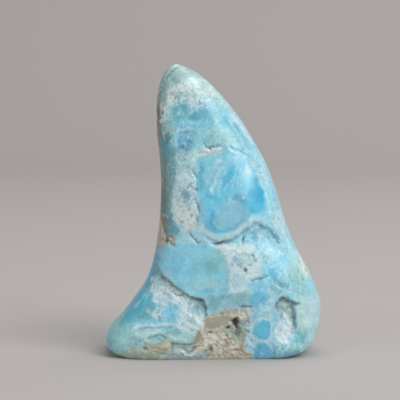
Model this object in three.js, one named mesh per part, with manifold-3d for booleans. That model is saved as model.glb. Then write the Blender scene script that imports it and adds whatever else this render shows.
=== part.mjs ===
// A polished freeform of blue aragonite: one stone, cut flat underneath so that it stands upright.
// Millimetres, +Z up, front facing -Y, origin at the middle of the flat base.
// The outline leans like a sail: a rounded tip at the upper left, a long curved right edge and a
// flared foot at the lower left. The front face is broken by ledges, hollows, cracks and pores,
// where the polish has cut through the crusts that the stone grew in.
import * as THREE from "three";
import { mergeVertices } from "three/addons/utils/BufferGeometryUtils.js";
import Module from "manifold-3d";

const wasm = await Module();
wasm.setup();

// Driving dimensions
const HEIGHT = 97.5;
const TIP_X = -12.4;
const TIP_Y = 0.2;
const COLUMNS = 58;
const ROUNDNESS = 2.8;
const LEFT_BLUNTER = 0.5;
const EDGE_LIMIT = 0.995;

// The outline and thickness at each height: [z, value]
const LEFT_EDGE = [
  [0, -31.2], [1.2, -33.9], [3.2, -35.9], [5.5, -36.4], [8.5, -35.1], [12.5, -31.3], [18, -27.1],
  [25, -22.6], [31, -20.5], [38, -19.1], [46, -18.2], [56, -17.7], [66, -18.1], [76, -19.1],
  [84, -19.1], [90, -18.3], [94, -16.9], [96.2, -15.2], [97.3, -13.4],
];
const RIGHT_EDGE = [
  [0, 26.0], [1, 29.3], [3, 32.4], [7, 34.9], [12, 36.2], [16.5, 36.4], [21, 35.2], [27, 32.6],
  [34, 28.9], [40, 26.0], [48, 23.3], [56, 20.8], [64, 17.7], [72, 13.4], [80, 8.3], [86, 3.5],
  [91, -1.3], [94.6, -5.9], [96.6, -9.8], [97.3, -11.6],
];
const FRONT_FACE = [
  [0, -16.6], [1, -17.1], [5, -17.5], [15, -17.6], [30, -16.9], [45, -15.4], [60, -13.3],
  [75, -10.8], [85, -8.4], [92, -5.8], [96, -3.0], [97.3, -1.2],
];
const BACK_FACE = [
  [0, 15.6], [1.5, 16.6], [6, 17.3], [16, 17.5], [30, 16.8], [45, 15.2], [60, 13.1], [75, 11.0],
  [85, 8.8], [92, 6.3], [96, 3.6], [97.3, 1.6],
];
// How square the horizontal section is: 2 is an ellipse
const BLUNTNESS = [[0, 5.6], [8, 4.0], [25, 3.0], [50, 2.8], [80, 2.6], [97.3, 2.1]];

// Heights of the rings: close together over the rounded foot and the tip
const FOOT_RINGS = [0, 0.5, 1.2, 2.2, 3.6, 5.5, 8];
const TIP_RINGS = [89.6, 91.6, 93.3, 94.7, 95.8, 96.6, 97.1, 97.3];
const SIDE_RINGS = 32;

// A smooth curve through knots [position, value] that never overshoots them.
function through(knots) {
  const last = knots.length - 1;
  const step = (i) => knots[i + 1][0] - knots[i][0];
  const rise = (i) => (knots[i + 1][1] - knots[i][1]) / step(i);
  const slopes = knots.map((_, i) => {
    if (i === 0) return rise(0);
    if (i === last) return rise(last - 1);
    if (rise(i - 1) * rise(i) <= 0) return 0;
    const before = 2 * step(i) + step(i - 1);
    const after = step(i) + 2 * step(i - 1);
    return (before + after) / (before / rise(i - 1) + after / rise(i));
  });
  return (position) => {
    const p = Math.min(Math.max(position, knots[0][0]), knots[last][0]);
    let i = 0;
    while (i < last - 1 && p > knots[i + 1][0]) i += 1;
    const t = (p - knots[i][0]) / step(i);
    return (
      (2 * t ** 3 - 3 * t ** 2 + 1) * knots[i][1] +
      (t ** 3 - 2 * t ** 2 + t) * step(i) * slopes[i] +
      (3 * t ** 2 - 2 * t ** 3) * knots[i + 1][1] +
      (t ** 3 - t ** 2) * step(i) * slopes[i + 1]
    );
  };
}

const leftAt = through(LEFT_EDGE);
const rightAt = through(RIGHT_EDGE);
const frontAt = through(FRONT_FACE);
const backAt = through(BACK_FACE);
const bluntAt = through(BLUNTNESS);

// The share of the full thickness left at u, which runs from -1 at the left edge to 1 at the right.
function thickness(u, z) {
  const power = bluntAt(z) - LEFT_BLUNTER * u;
  return Math.max(0, 1 - Math.abs(u) ** power) ** (1 / power);
}

// The slow swells of a face that was ground and polished by hand.
function swell(x, z) {
  return (
    0.4 * Math.sin(0.11 * x + 0.07 * z + 0.6) +
    0.3 * Math.sin(0.19 * z - 0.13 * x + 2.1) +
    0.15 * Math.sin(0.27 * x + 0.16 * z + 4.0)
  );
}

// Where a face lies at u and height z.
function faceDepth(u, z, back) {
  const x = (leftAt(z) + rightAt(z)) / 2 + ((rightAt(z) - leftAt(z)) / 2) * u;
  const full = back ? backAt(z) - swell(x + 9, z + 40) : frontAt(z) + swell(x, z);
  return full * thickness(u, z);
}

// The two faces that the ledges and pits are cut into: the depth at x, z and the way out.
function face(back) {
  return {
    out: back ? 1 : -1,
    at(x, z) {
      const half = (rightAt(z) - leftAt(z)) / 2;
      const u = (x - (leftAt(z) + rightAt(z)) / 2) / half;
      return faceDepth(Math.min(Math.max(u, -EDGE_LIMIT), EDGE_LIMIT), z, back);
    },
  };
}
const FRONT = face(false);
const BACK = face(true);

// A closed solid for joining and cutting, from points [x, y, z] and triangles.
function solid(points, triangles) {
  const made = new wasm.Manifold(
    new wasm.Mesh({
      numProp: 3,
      vertProperties: Float32Array.from(points.flat()),
      triVerts: Uint32Array.from(triangles.flat()),
    }),
  );
  if (made.volume() >= 0) return made;
  return solid(points, triangles.map(([a, b, c]) => [a, c, b]));
}

// The smooth stone before anything breaks its surface: rings from the flat base up to the tip.
function body() {
  const middle = Array.from({ length: SIDE_RINGS - 1 }, (_, i) => {
    const low = FOOT_RINGS.at(-1);
    return low + ((TIP_RINGS[0] - low) * (i + 1)) / SIDE_RINGS;
  });
  const heights = [...FOOT_RINGS, ...middle, ...TIP_RINGS];
  const points = [];
  for (const z of heights) {
    for (let i = 0; i < COLUMNS; i += 1) {
      const turn = (i / COLUMNS) * 2 * Math.PI;
      const across = Math.cos(turn);
      const u = Math.sign(across) * Math.abs(across) ** (2 / ROUNDNESS);
      const x = (leftAt(z) + rightAt(z)) / 2 + ((rightAt(z) - leftAt(z)) / 2) * u;
      points.push([x, faceDepth(u, z, Math.sin(turn) >= 0), z]);
    }
  }
  const triangles = [];
  for (let row = 0; row < heights.length - 1; row += 1) {
    for (let i = 0; i < COLUMNS; i += 1) {
      const next = (i + 1) % COLUMNS;
      const [a, b] = [row * COLUMNS + i, row * COLUMNS + next];
      triangles.push([a, b, b + COLUMNS], [a, b + COLUMNS, a + COLUMNS]);
    }
  }
  const top = (heights.length - 1) * COLUMNS;
  const baseMiddle = points.push([(leftAt(0) + rightAt(0)) / 2, 0, 0]) - 1;
  const tip = points.push([TIP_X, TIP_Y, HEIGHT]) - 1;
  for (let i = 0; i < COLUMNS; i += 1) {
    const next = (i + 1) % COLUMNS;
    triangles.push([next, i, baseMiddle], [top + i, top + next, tip]);
  }
  return solid(points, triangles);
}

// Samples a smooth line through knots of any length, so that each number follows its own curve.
function along(knots, samples) {
  const columns = knots[0].map((_, n) => through(knots.map((knot, i) => [i, knot[n]])));
  return Array.from({ length: samples }, (_, i) => {
    const p = (i / (samples - 1)) * (knots.length - 1);
    return columns.map((column) => column(p));
  });
}

// A sheet of points [x, z, depth] sunk into a face, closed by a lid held off the face. Rows run
// across it, and round says that each row closes on itself.
const LID = 2.5;
function plug(side, rows, round) {
  const across = rows[0].length;
  const points = [];
  for (const lidded of [false, true]) {
    for (const row of rows) {
      for (const [x, z, depth] of row) {
        points.push([x, side.at(x, z) + side.out * (lidded ? LID : -depth), z]);
      }
    }
  }
  const lid = rows.length * across;
  const triangles = [];
  const quad = (a, b, c, d) => triangles.push([a, b, c], [a, c, d]);
  const steps = round ? across : across - 1;
  for (let r = 0; r < rows.length - 1; r += 1) {
    for (let i = 0; i < steps; i += 1) {
      const [a, b] = [r * across + i, r * across + ((i + 1) % across)];
      quad(a, b, b + across, a + across);
      quad(lid + b, lid + a, lid + a + across, lid + b + across);
    }
  }
  const far = (rows.length - 1) * across;
  for (let i = 0; i < steps; i += 1) {
    const next = (i + 1) % across;
    quad(i, lid + i, lid + next, next);
    if (!round) quad(far + i, far + next, lid + far + next, lid + far + i);
  }
  if (round) {
    const heart = points.push(points.slice(far, far + across).reduce(mean(across), [0, 0, 0])) - 1;
    const cover =
      points.push(points.slice(lid + far, lid + far + across).reduce(mean(across), [0, 0, 0])) - 1;
    for (let i = 0; i < across; i += 1) {
      const next = (i + 1) % across;
      triangles.push([far + i, far + next, heart], [lid + far + next, lid + far + i, cover]);
    }
  } else {
    for (let r = 0; r < rows.length - 1; r += 1) {
      const [a, b] = [r * across, (r + 1) * across];
      quad(a, b, lid + b, lid + a);
      quad(b + across - 1, a + across - 1, lid + a + across - 1, lid + b + across - 1);
    }
  }
  return solid(points, triangles);
}

// Adds up a share of each point, which gives their middle.
function mean(count) {
  return (sum, point) => sum.map((value, i) => value + point[i] / count);
}

// A step down from a rim, deepest under the rim, that fades out where it meets its foot line.
// Knots of the rim are [x, z, depth], and those of the foot are [x, z].
const LEDGE_FLOOR = [[0, 1], [0.1, 0.98], [0.3, 0.76], [0.55, 0.46], [0.82, 0.2], [1, -0.2]];
function ledge(side, rim, foot, samples, undercut = 0) {
  const top = along(rim, samples);
  const bottom = along(foot, samples);
  const rows = LEDGE_FLOOR.map(([share, sunk]) =>
    top.map(([x, z, depth], i) => {
      const [footX, footZ] = bottom[i];
      const reach = Math.hypot(footX - x, footZ - z);
      const slid = share === 0.1 ? -undercut / reach : share;
      return [x + (footX - x) * slid, z + (footZ - z) * slid, depth * sunk - (sunk < 0 ? 0.4 : 0)];
    }),
  );
  return plug(side, rows, false);
}

// A bowl inside a closed outline [x, z]. Its floor slopes from the depth at its top to that at
// its bottom, and lumps roughen it.
const BOWL_FLOOR = [[0, 0.5], [0.1, 0.82], [0.32, 1], [0.65, 0.94]];
function hollow(side, outline, topDepth, bottomDepth, samples, lump = 0.14) {
  const ring = along([...outline, outline[0]], samples + 1).slice(0, -1);
  const [middleX, middleZ] = ring.reduce(mean(samples), [0, 0]);
  const heights = ring.map(([, z]) => z);
  const [low, high] = [Math.min(...heights), Math.max(...heights)];
  const rows = BOWL_FLOOR.map(([share, sunk]) =>
    ring.map(([edgeX, edgeZ]) => {
      const x = edgeX + (middleX - edgeX) * share;
      const z = edgeZ + (middleZ - edgeZ) * share;
      const full = bottomDepth + ((topDepth - bottomDepth) * (z - low)) / (high - low);
      return [x, z, full * sunk * (1 + lump * Math.sin(1.3 * x + 0.6) * Math.sin(1.1 * z))];
    }),
  );
  return plug(side, rows, true);
}

// A crack: a V that follows knots [x, z] and runs out at both ends.
function crack(side, knots, width, depth, samples = 2 * knots.length - 1) {
  const line = along(knots, samples);
  const rows = [-1, 0, 1].map((edge) =>
    line.map(([x, z], i) => {
      const [x0, z0] = line[Math.max(i - 1, 0)];
      const [x1, z1] = line[Math.min(i + 1, samples - 1)];
      const length = Math.hypot(x1 - x0, z1 - z0);
      const open = (width / 2) * Math.sin((Math.PI * (i + 0.5)) / samples);
      const off = edge * open;
      const sunk = edge === 0 ? depth * Math.sin((Math.PI * (i + 0.5)) / samples) : -0.1;
      return [x - (off * (z1 - z0)) / length, z + (off * (x1 - x0)) / length, sunk];
    }),
  );
  return plug(side, rows, false);
}

// A pore: an egg sunk into the face at x, z.
function pore(side, x, z, radius, depth, tall = 1) {
  const egg = new THREE.IcosahedronGeometry(1, 1);
  egg.scale(radius, depth, radius * tall);
  egg.translate(x, side.at(x, z), z);
  egg.deleteAttribute("normal");
  egg.deleteAttribute("uv");
  const merged = mergeVertices(egg, 1e-4);
  return new wasm.Manifold(
    new wasm.Mesh({
      numProp: 3,
      vertProperties: merged.attributes.position.array,
      triVerts: Uint32Array.from(merged.index.array),
    }),
  );
}

// The long ledge that parts the lower left foot from the smooth oval above it.
function footLedge() {
  const rim = [
    [-19.2, 35.0, 0.7], [-18.6, 31.5, 1.3], [-18.0, 28.8, 1.7], [-16.0, 26.0, 2.1],
    [-13.5, 24.4, 2.2], [-10.5, 22.8, 2.1], [-8.0, 21.2, 2.2], [-5.5, 20.8, 2.6],
    [-3.4, 19.8, 2.8], [-2.3, 17.6, 2.4], [-2.0, 14.6, 1.2],
  ];
  const foot = [
    [-20.4, 32.0], [-22.0, 28.0], [-23.5, 23.0], [-23.0, 18.0], [-20.0, 15.5], [-16.5, 14.0],
    [-13.5, 13.0], [-11.5, 12.5], [-9.5, 12.0], [-7.5, 11.5], [-5.5, 11.5],
  ];
  return ledge(FRONT, rim, foot, 31, 0.4);
}

// The shallow hollow between the big lens and the right edge: one ledge under the lens and one
// under the arc that comes down from the right.
function lensHollow() {
  const underLens = ledge(
    FRONT,
    [
      [-3.4, 41.8, 0.3], [-1.0, 40.4, 0.8], [1.8, 39.6, 1.2], [4.8, 39.9, 1.4], [7.6, 41.2, 1.6],
      [10.4, 43.2, 1.7], [12.6, 45.8, 1.5],
    ],
    [
      [-3.2, 40.0], [-0.4, 38.2], [2.6, 37.2], [6.2, 36.2], [9.6, 35.6], [13.0, 35.6], [16.5, 37.0],
    ],
    19,
    0.3,
  );
  const underArc = ledge(
    FRONT,
    [
      [12.4, 45.9, 1.4], [15.0, 45.6, 1.6], [17.6, 44.4, 1.6], [19.6, 42.6, 1.5], [21.0, 40.4, 1.4],
      [22.0, 38.0, 1.2], [22.5, 35.4, 0.5],
    ],
    [
      [12.6, 37.6], [13.8, 37.0], [15.0, 36.4], [16.2, 36.0], [17.4, 35.4], [18.8, 34.8], [20.4, 34.2],
    ],
    19,
    0.3,
  );
  return [underLens, underArc];
}

// The cave at the lower right, deepest under its arched roof.
function cave() {
  const outline = [
    [20.2, 17.9], [20.9, 19.5], [22.2, 20.5], [23.6, 20.8], [24.9, 20.3], [26.2, 19.3], [28.8, 18.4],
    [26.9, 17.4], [26.8, 15.6], [27.4, 13.4], [27.3, 10.6], [26.6, 7.6], [24.8, 5.2], [22.6, 4.9],
    [20.8, 7.0], [20.2, 10.2], [21.3, 13.2], [20.9, 15.6],
  ];
  return hollow(FRONT, outline, 3.6, 0.7, 36);
}

// The rough brown matrix at the foot of the front: one deep hole and several smaller ones.
function matrixPits() {
  const hole = [[5.7, 12.3], [6.9, 13.9], [7.7, 14.5], [8.4, 13.2], [8.3, 11.2], [7.2, 10.2], [6.4, 11.2]];
  return [
    hollow(FRONT, hole, 2.6, 1.6, 14),
    pore(FRONT, 4.4, 11.0, 0.7, 1.1),
    pore(FRONT, 5.2, 7.1, 0.9, 0.9, 0.5),
    pore(FRONT, 4.1, 8.1, 0.8, 0.7, 0.5),
    pore(FRONT, -1.0, 9.3, 0.7, 0.8, 0.7),
    pore(FRONT, -0.9, 3.5, 0.6, 0.9, 1.3),
    pore(FRONT, 2.4, 15.5, 0.9, 0.5, 0.5),
    pore(FRONT, -22.7, 3.9, 0.8, 0.7, 0.7),
    crack(FRONT, [[5.6, 3.4], [7.2, 3.0], [8.8, 3.1]], 0.7, 0.7),
    crack(FRONT, [[-13.7, 6.0], [-13.9, 4.4], [-13.8, 3.0]], 0.6, 0.8),
    crack(FRONT, [[-10.4, 3.8], [-9.2, 2.9], [-7.6, 3.0], [-6.2, 4.4]], 0.7, 0.6),
  ];
}

// The step where the blue crust of the foot overhangs the matrix along the base.
function matrixStep() {
  const rim = [
    [-16.0, 6.4, 0.2], [-13.0, 5.9, 0.6], [-10.0, 5.6, 0.7], [-7.6, 5.7, 0.8], [-6.5, 7.2, 0.7],
    [-5.4, 9.4, 0.3],
  ];
  const foot = [[-15.6, 4.4], [-12.6, 3.0], [-9.4, 2.2], [-6.0, 2.2], [-4.0, 4.6], [-3.2, 8.0]];
  return ledge(FRONT, rim, foot, 13);
}

// Cracks and pores of the upper front, round the big lens and in the white band beside it.
function frontCracks() {
  return [
    crack(FRONT, [[-2.8, 70.6], [-1.4, 69.6], [0.2, 70.2], [2.6, 70.0]], 1.1, 1.0, 9),
    crack(FRONT, [[5.8, 69.7], [8.4, 68.4], [10.6, 67.7], [12.4, 65.6]], 0.5, 0.5),
    crack(FRONT, [[-7.0, 62.4], [-6.2, 61.2], [-5.4, 60.1]], 0.7, 0.8),
    crack(FRONT, [[-6.2, 52.8], [-5.4, 50.8], [-4.9, 49.2], [-5.0, 48.0]], 0.6, 0.8),
    crack(FRONT, [[-8.0, 42.0], [-7.0, 40.3], [-5.8, 39.4], [-4.6, 39.2]], 0.6, 0.8),
    crack(FRONT, [[-0.6, 38.3], [1.4, 38.5], [3.6, 39.5]], 0.8, 1.5),
    crack(FRONT, [[10.2, 40.9], [9.8, 39.9], [9.6, 38.8]], 0.7, 1.2),
    crack(FRONT, [[8.4, 18.0], [10.4, 18.1], [12.6, 17.6]], 0.6, 0.8),
    crack(FRONT, [[13.0, 26.6], [14.4, 27.2], [16.2, 27.5], [18.2, 28.1]], 0.8, 1.0),
    crack(FRONT, [[-14.2, 22.4], [-12.4, 21.5], [-10.2, 21.6], [-9.3, 20.0]], 0.6, 1.6),
    pore(FRONT, -5.8, 56.2, 0.6, 0.9, 0.7),
    pore(FRONT, -5.3, 46.4, 0.4, 0.6, 2.0),
    pore(FRONT, 10.3, 29.7, 0.75, 1.2),
    pore(FRONT, 13.1, 34.8, 0.45, 0.7),
    pore(FRONT, 11.4, 9.5, 0.5, 0.6),
  ];
}

// The brown crevice on the left edge, beside the top of the oval.
function leftCrevice() {
  return [
    pore(FRONT, -17.2, 45.4, 0.9, 1.6, 1.7),
    pore(FRONT, -16.1, 42.6, 0.8, 1.6, 2.0),
    pore(FRONT, -15.6, 39.7, 0.9, 1.5, 1.3),
    pore(FRONT, -13.9, 39.4, 1.1, 0.8, 0.8),
    pore(FRONT, -18.0, 40.2, 0.8, 1.4, 2.0),
  ];
}

// The back is polished like the front, with a few ledges and pores of its own.
function backRelief() {
  const rim = [
    [-14.0, 35.8, 0.3], [-9.6, 35.4, 0.7], [-3.4, 37.8, 1.0], [2.6, 37.4, 1.2], [7.6, 39.0, 1.4],
    [12.6, 39.8, 1.3], [16.2, 42.8, 0.9], [18.4, 47.0, 0.3],
  ];
  const foot = [
    [-14.0, 32.0], [-9.0, 31.0], [-3.0, 32.6], [3.6, 32.0], [9.0, 33.6], [14.6, 34.6], [19.0, 38.0],
    [21.0, 43.0],
  ];
  const bowl = [[12.0, 22.4], [15.2, 24.6], [19.0, 23.8], [21.4, 20.2], [19.8, 16.4], [15.6, 15.2], [12.4, 18.0]];
  return [
    ledge(BACK, rim, foot, 20, 0.2),
    hollow(BACK, bowl, 1.8, 0.6, 20),
    crack(BACK, [[-6.0, 66.0], [-2.4, 64.2], [2.2, 64.6]], 0.7, 0.9),
    crack(BACK, [[-24.0, 12.4], [-20.0, 14.2], [-15.0, 13.4]], 0.8, 1.0),
    pore(BACK, -8.6, 24.6, 0.9, 1.0),
    pore(BACK, -3.0, 12.2, 0.8, 1.0),
    pore(BACK, 5.4, 8.0, 0.9, 0.9, 0.7),
  ];
}

// Cuts leave edges and triangles too thin to see. Short edges close to one of their ends and
// thin triangles turn their longest edge, wherever that keeps the skin closed and unfolded.
const SHORTEST = 0.22;
const THINNEST = 0.02;
function tidySkin(at, triangles) {
  const around = at.map(() => new Set());
  triangles.forEach((corners, t) => corners.forEach((corner) => around[corner].add(t)));
  const ring = (v) => new Set([...around[v]].flatMap((t) => triangles[t]));
  const normal = (corners) => {
    const [a, b, c] = corners.map((corner) => at[corner]);
    return new THREE.Triangle(a, b, c).getNormal(new THREE.Vector3());
  };
  const height = (corners) => {
    const [a, b, c] = corners.map((corner) => at[corner]);
    const longest = Math.max(a.distanceTo(b), b.distanceTo(c), c.distanceTo(a));
    return (2 * new THREE.Triangle(a, b, c).getArea()) / longest;
  };
  const keepsShape = (corners, made) => {
    if (height(made) < Math.min(THINNEST, height(corners))) return false;
    return height(corners) < THINNEST || normal(made).dot(normal(corners)) > 0.6;
  };
  const replace = (t, corners) => {
    triangles[t].forEach((v) => around[v].delete(t));
    triangles[t] = corners;
    if (corners) corners.forEach((v) => around[v].add(t));
  };

  const closeEdge = (from, to) => {
    if (at[from].z === 0 && at[to].z !== 0) return false;
    if ([...ring(from)].filter((v) => ring(to).has(v)).length !== 4) return false;
    const moved = (corners) => corners.map((v) => (v === from ? to : v));
    const kept = [...around[from]].filter((t) => !triangles[t].includes(to));
    if (!kept.every((t) => keepsShape(triangles[t], moved(triangles[t])))) return false;
    for (const t of [...around[from]]) {
      replace(t, triangles[t].includes(to) ? null : moved(triangles[t]));
    }
    return true;
  };

  const turnEdge = (t) => {
    const spans = [0, 1, 2].map((i) => at[triangles[t][i]].distanceTo(at[triangles[t][(i + 1) % 3]]));
    const i = spans.indexOf(Math.max(...spans));
    const [a, b, c] = [0, 1, 2].map((k) => triangles[t][(i + k) % 3]);
    const other = [...around[a]].find((n) => n !== t && around[b].has(n));
    const d = triangles[other].find((v) => v !== a && v !== b);
    if (ring(c).has(d)) return false;
    const made = [[a, d, c], [d, b, c]];
    if (Math.min(...made.map(height)) <= Math.min(height(triangles[t]), THINNEST)) return false;
    if (!made.every((corners) => normal(corners).dot(normal(triangles[other])) > 0.6)) return false;
    replace(t, made[0]);
    replace(other, made[1]);
    return true;
  };

  for (let changed = true; changed; ) {
    changed = false;
    for (let t = 0; t < triangles.length; t += 1) {
      for (let i = 0; i < 3 && triangles[t]; i += 1) {
        const [from, to] = [triangles[t][i], triangles[t][(i + 1) % 3]];
        const short = at[from].distanceTo(at[to]) < SHORTEST;
        if (short && (closeEdge(from, to) || closeEdge(to, from))) changed = true;
      }
      if (triangles[t] && height(triangles[t]) < THINNEST && turnEdge(t)) changed = true;
    }
  }
  return triangles.filter(Boolean);
}

// The finished stone: the smooth body with every break cut out of it, as a mesh.
function stone() {
  const cuts = [
    footLedge(), ...lensHollow(), cave(), ...matrixPits(), matrixStep(), ...frontCracks(),
    ...leftCrevice(), ...backRelief(),
  ];
  const { vertProperties, triVerts } = cuts
    .reduce((whole, cut) => whole.subtract(cut), body())
    .getMesh();
  const corners = Array.from({ length: triVerts.length / 3 }, (_, t) => [
    ...triVerts.slice(3 * t, 3 * t + 3),
  ]);
  const points = Array.from({ length: vertProperties.length / 3 }, (_, v) =>
    new THREE.Vector3().fromArray(vertProperties, 3 * v),
  );
  const geometry = new THREE.BufferGeometry().setFromPoints(points);
  geometry.setIndex(tidySkin(points, corners).flat());
  geometry.computeVertexNormals();
  const material = new THREE.MeshStandardMaterial({ color: 0x8fc4cf, roughness: 0.3, metalness: 0 });
  const mesh = new THREE.Mesh(geometry, material);
  mesh.name = "aragonite";
  return mesh;
}

const group = new THREE.Group();
group.add(stone());

export default group;
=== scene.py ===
"""The looks of a polished blue aragonite freeform that stands on a flat-cut base.

The stone is one closed skin, shaped on the same outline as its solid, with the ledges, hollows,
cracks and pores carved into it, and dressed with the crusts that the polish has cut through.
Lengths in the classes are in millimetres; the finished mesh is in metres.
"""

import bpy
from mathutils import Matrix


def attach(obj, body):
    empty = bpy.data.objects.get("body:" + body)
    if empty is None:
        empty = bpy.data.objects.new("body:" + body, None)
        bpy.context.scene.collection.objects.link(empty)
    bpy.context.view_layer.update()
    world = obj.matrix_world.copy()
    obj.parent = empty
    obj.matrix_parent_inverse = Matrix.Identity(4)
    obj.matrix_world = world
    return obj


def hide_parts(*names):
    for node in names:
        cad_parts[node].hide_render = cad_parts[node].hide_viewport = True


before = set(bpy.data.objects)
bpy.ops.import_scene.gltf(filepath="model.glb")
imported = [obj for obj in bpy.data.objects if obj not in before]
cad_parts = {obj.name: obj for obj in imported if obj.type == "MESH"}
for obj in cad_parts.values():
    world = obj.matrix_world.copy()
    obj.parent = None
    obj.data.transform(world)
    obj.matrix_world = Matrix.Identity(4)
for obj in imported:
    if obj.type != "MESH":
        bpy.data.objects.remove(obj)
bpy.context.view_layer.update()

import logging
import math
from dataclasses import dataclass, field
from enum import Enum

import bmesh
import bpy
import numpy as np
from mathutils import Vector, noise

LOG = logging.getLogger("aragonite")
MM = 0.001
NOISE_SPAN = (0.3, 0.7)
RELIEF_REACH = 2.0
CRUST_REACH = 3.0
Point = tuple[float, float]
Points = list[Point]
Span = tuple[float, float]
Place = tuple[float, float, float]
Socket = bpy.types.NodeSocket
Drawn = bmesh.types.BMVert | bmesh.types.BMEdge | bmesh.types.BMFace


# Colours

def linear(hex_code: str) -> np.ndarray:
    """Turns an sRGB hex colour into linear red, green and blue.

    Args:
        hex_code: The colour, such as "#8AC6DD".

    Returns:
        Three numbers from 0 to 1.
    """
    parts = np.array([int(hex_code[i : i + 2], 16) for i in (1, 3, 5)]) / 255
    return np.where(parts <= 0.04045, parts / 12.92, ((parts + 0.055) / 1.055) ** 2.4)


class Mineral(Enum):
    """The crusts of the stone, each by the colour that its polished cut shows."""

    SKY = "#8EE2FB"
    ICE = "#A2E5F9"
    AZURE = "#52CBF2"
    STRONG_AZURE = "#30B8E6"
    DENIM = "#5CA4CB"
    STEEL = "#80BED4"
    TEAL = "#5DA8B5"
    DEEP_TEAL = "#3D7981"
    LAGOON = "#5CBCCB"
    SEAFOAM = "#9FDDDC"
    MINT = "#C0E3DE"
    MIST = "#A1CEDC"
    LILAC = "#ABD6F0"
    CHALK = "#C4E6F1"
    SNOW = "#E0FAFF"
    SAGE = "#9FC1B9"
    SLATE = "#5B7275"
    OLIVE = "#B1B098"
    TAN = "#D6CFB6"
    CREAM = "#EFEEDE"
    ROSE = "#CDBFB0"
    BROWN = "#94866F"
    UMBER = "#575349"


# Curves and distances

def through(knots: Points, at: np.ndarray) -> np.ndarray:
    """Reads a smooth curve through knots that never overshoots them.

    Args:
        knots: Pairs of position and value, in rising order of position.
        at: Positions to read.

    Returns:
        The value at each position.
    """
    place, value = np.array(knots, float).T
    step = np.diff(place)
    rise = np.diff(value) / step
    slope = np.zeros(len(place))
    slope[0], slope[-1] = rise[0], rise[-1]
    for i in range(1, len(place) - 1):
        if rise[i - 1] * rise[i] > 0:
            before = 2 * step[i] + step[i - 1]
            after = step[i] + 2 * step[i - 1]
            slope[i] = (before + after) / (before / rise[i - 1] + after / rise[i])
    p = np.clip(at, place[0], place[-1])
    i = np.clip(np.searchsorted(place, p, side="right") - 1, 0, len(step) - 1)
    t = (p - place[i]) / step[i]
    return (
        (2 * t**3 - 3 * t**2 + 1) * value[i]
        + (t**3 - 2 * t**2 + t) * step[i] * slope[i]
        + (3 * t**2 - 2 * t**3) * value[i + 1]
        + (t**3 - t**2) * step[i] * slope[i + 1]
    )


def ease(low: float, high: float, at: np.ndarray) -> np.ndarray:
    """Rises smoothly from 0 at low to 1 at high.

    Args:
        low: Where the rise starts.
        high: Where it ends.
        at: Values to read.

    Returns:
        The share of the rise at each value.
    """
    t = np.clip((at - low) / (high - low), 0, 1)
    return t * t * (3 - 2 * t)


def rounded(corners: Points, closed: bool, steps: int = 4) -> Points:
    """Runs a smooth curve through corners.

    Args:
        corners: The corners, in order.
        closed: Whether the last corner leads back to the first.
        steps: Short runs between two corners.

    Returns:
        The corners of the finer line.
    """
    knots = np.array(corners, float)
    count = len(knots)
    fine = []
    for i in range(count if closed else count - 1):
        places = np.arange(i - 1, i + 3)
        a, b, c, d = knots[places % count if closed else places.clip(0, count - 1)]
        for t in np.arange(steps) / steps:
            bend = (2 * a - 5 * b + 4 * c - d) * t**2 + (3 * b - a - 3 * c + d) * t**3
            fine.append(tuple(0.5 * (2 * b + (c - a) * t + bend)))
    return fine if closed else [*fine, tuple(knots[-1])]


def to_line(x: np.ndarray, z: np.ndarray, line: Points) -> tuple[np.ndarray, np.ndarray]:
    """Measures how far points lie from a line of straight runs.

    Args:
        x: Points across the face.
        z: Points up the face.
        line: The line's corners.

    Returns:
        The distance of each point, and how far along the line its nearest place is, in corners.
    """
    nearest = np.full(len(x), 1e9)
    along = np.zeros(len(x))
    for i, ((ax, az), (bx, bz)) in enumerate(zip(line[:-1], line[1:])):
        run = max((bx - ax) ** 2 + (bz - az) ** 2, 1e-9)
        t = np.clip(((x - ax) * (bx - ax) + (z - az) * (bz - az)) / run, 0, 1)
        distance = np.hypot(x - ax - t * (bx - ax), z - az - t * (bz - az))
        closer = distance < nearest
        nearest = np.where(closer, distance, nearest)
        along = np.where(closer, i + t, along)
    return nearest, along


def into_outline(x: np.ndarray, z: np.ndarray, outline: Points) -> np.ndarray:
    """Measures how far points lie inside a closed outline.

    Args:
        x: Points across the face.
        z: Points up the face.
        outline: The outline's corners, without the first one again.

    Returns:
        The distance from the outline, above 0 inside and below 0 outside.
    """
    closed = [*outline, outline[0]]
    distance, _ = to_line(x, z, closed)
    inside = np.zeros(len(x), bool)
    for (ax, az), (bx, bz) in zip(closed[:-1], closed[1:]):
        if az != bz:
            crosses = (az > z) != (bz > z)
            inside ^= crosses & (x < (bx - ax) * (z - az) / (bz - az) + ax)
    return np.where(inside, distance, -distance)


def near(x: np.ndarray, z: np.ndarray, corners: Points, margin: float) -> np.ndarray:
    """Picks the points that lie in the box round some corners.

    Args:
        x: Points across the face.
        z: Points up the face.
        corners: The corners.
        margin: How far the box reaches past them.

    Returns:
        The places of those points in the lists.
    """
    low = np.min(corners, 0) - margin
    high = np.max(corners, 0) + margin
    return np.nonzero((x > low[0]) & (x < high[0]) & (z > low[1]) & (z < high[1]))[0]


# The shape of the stone

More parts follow.
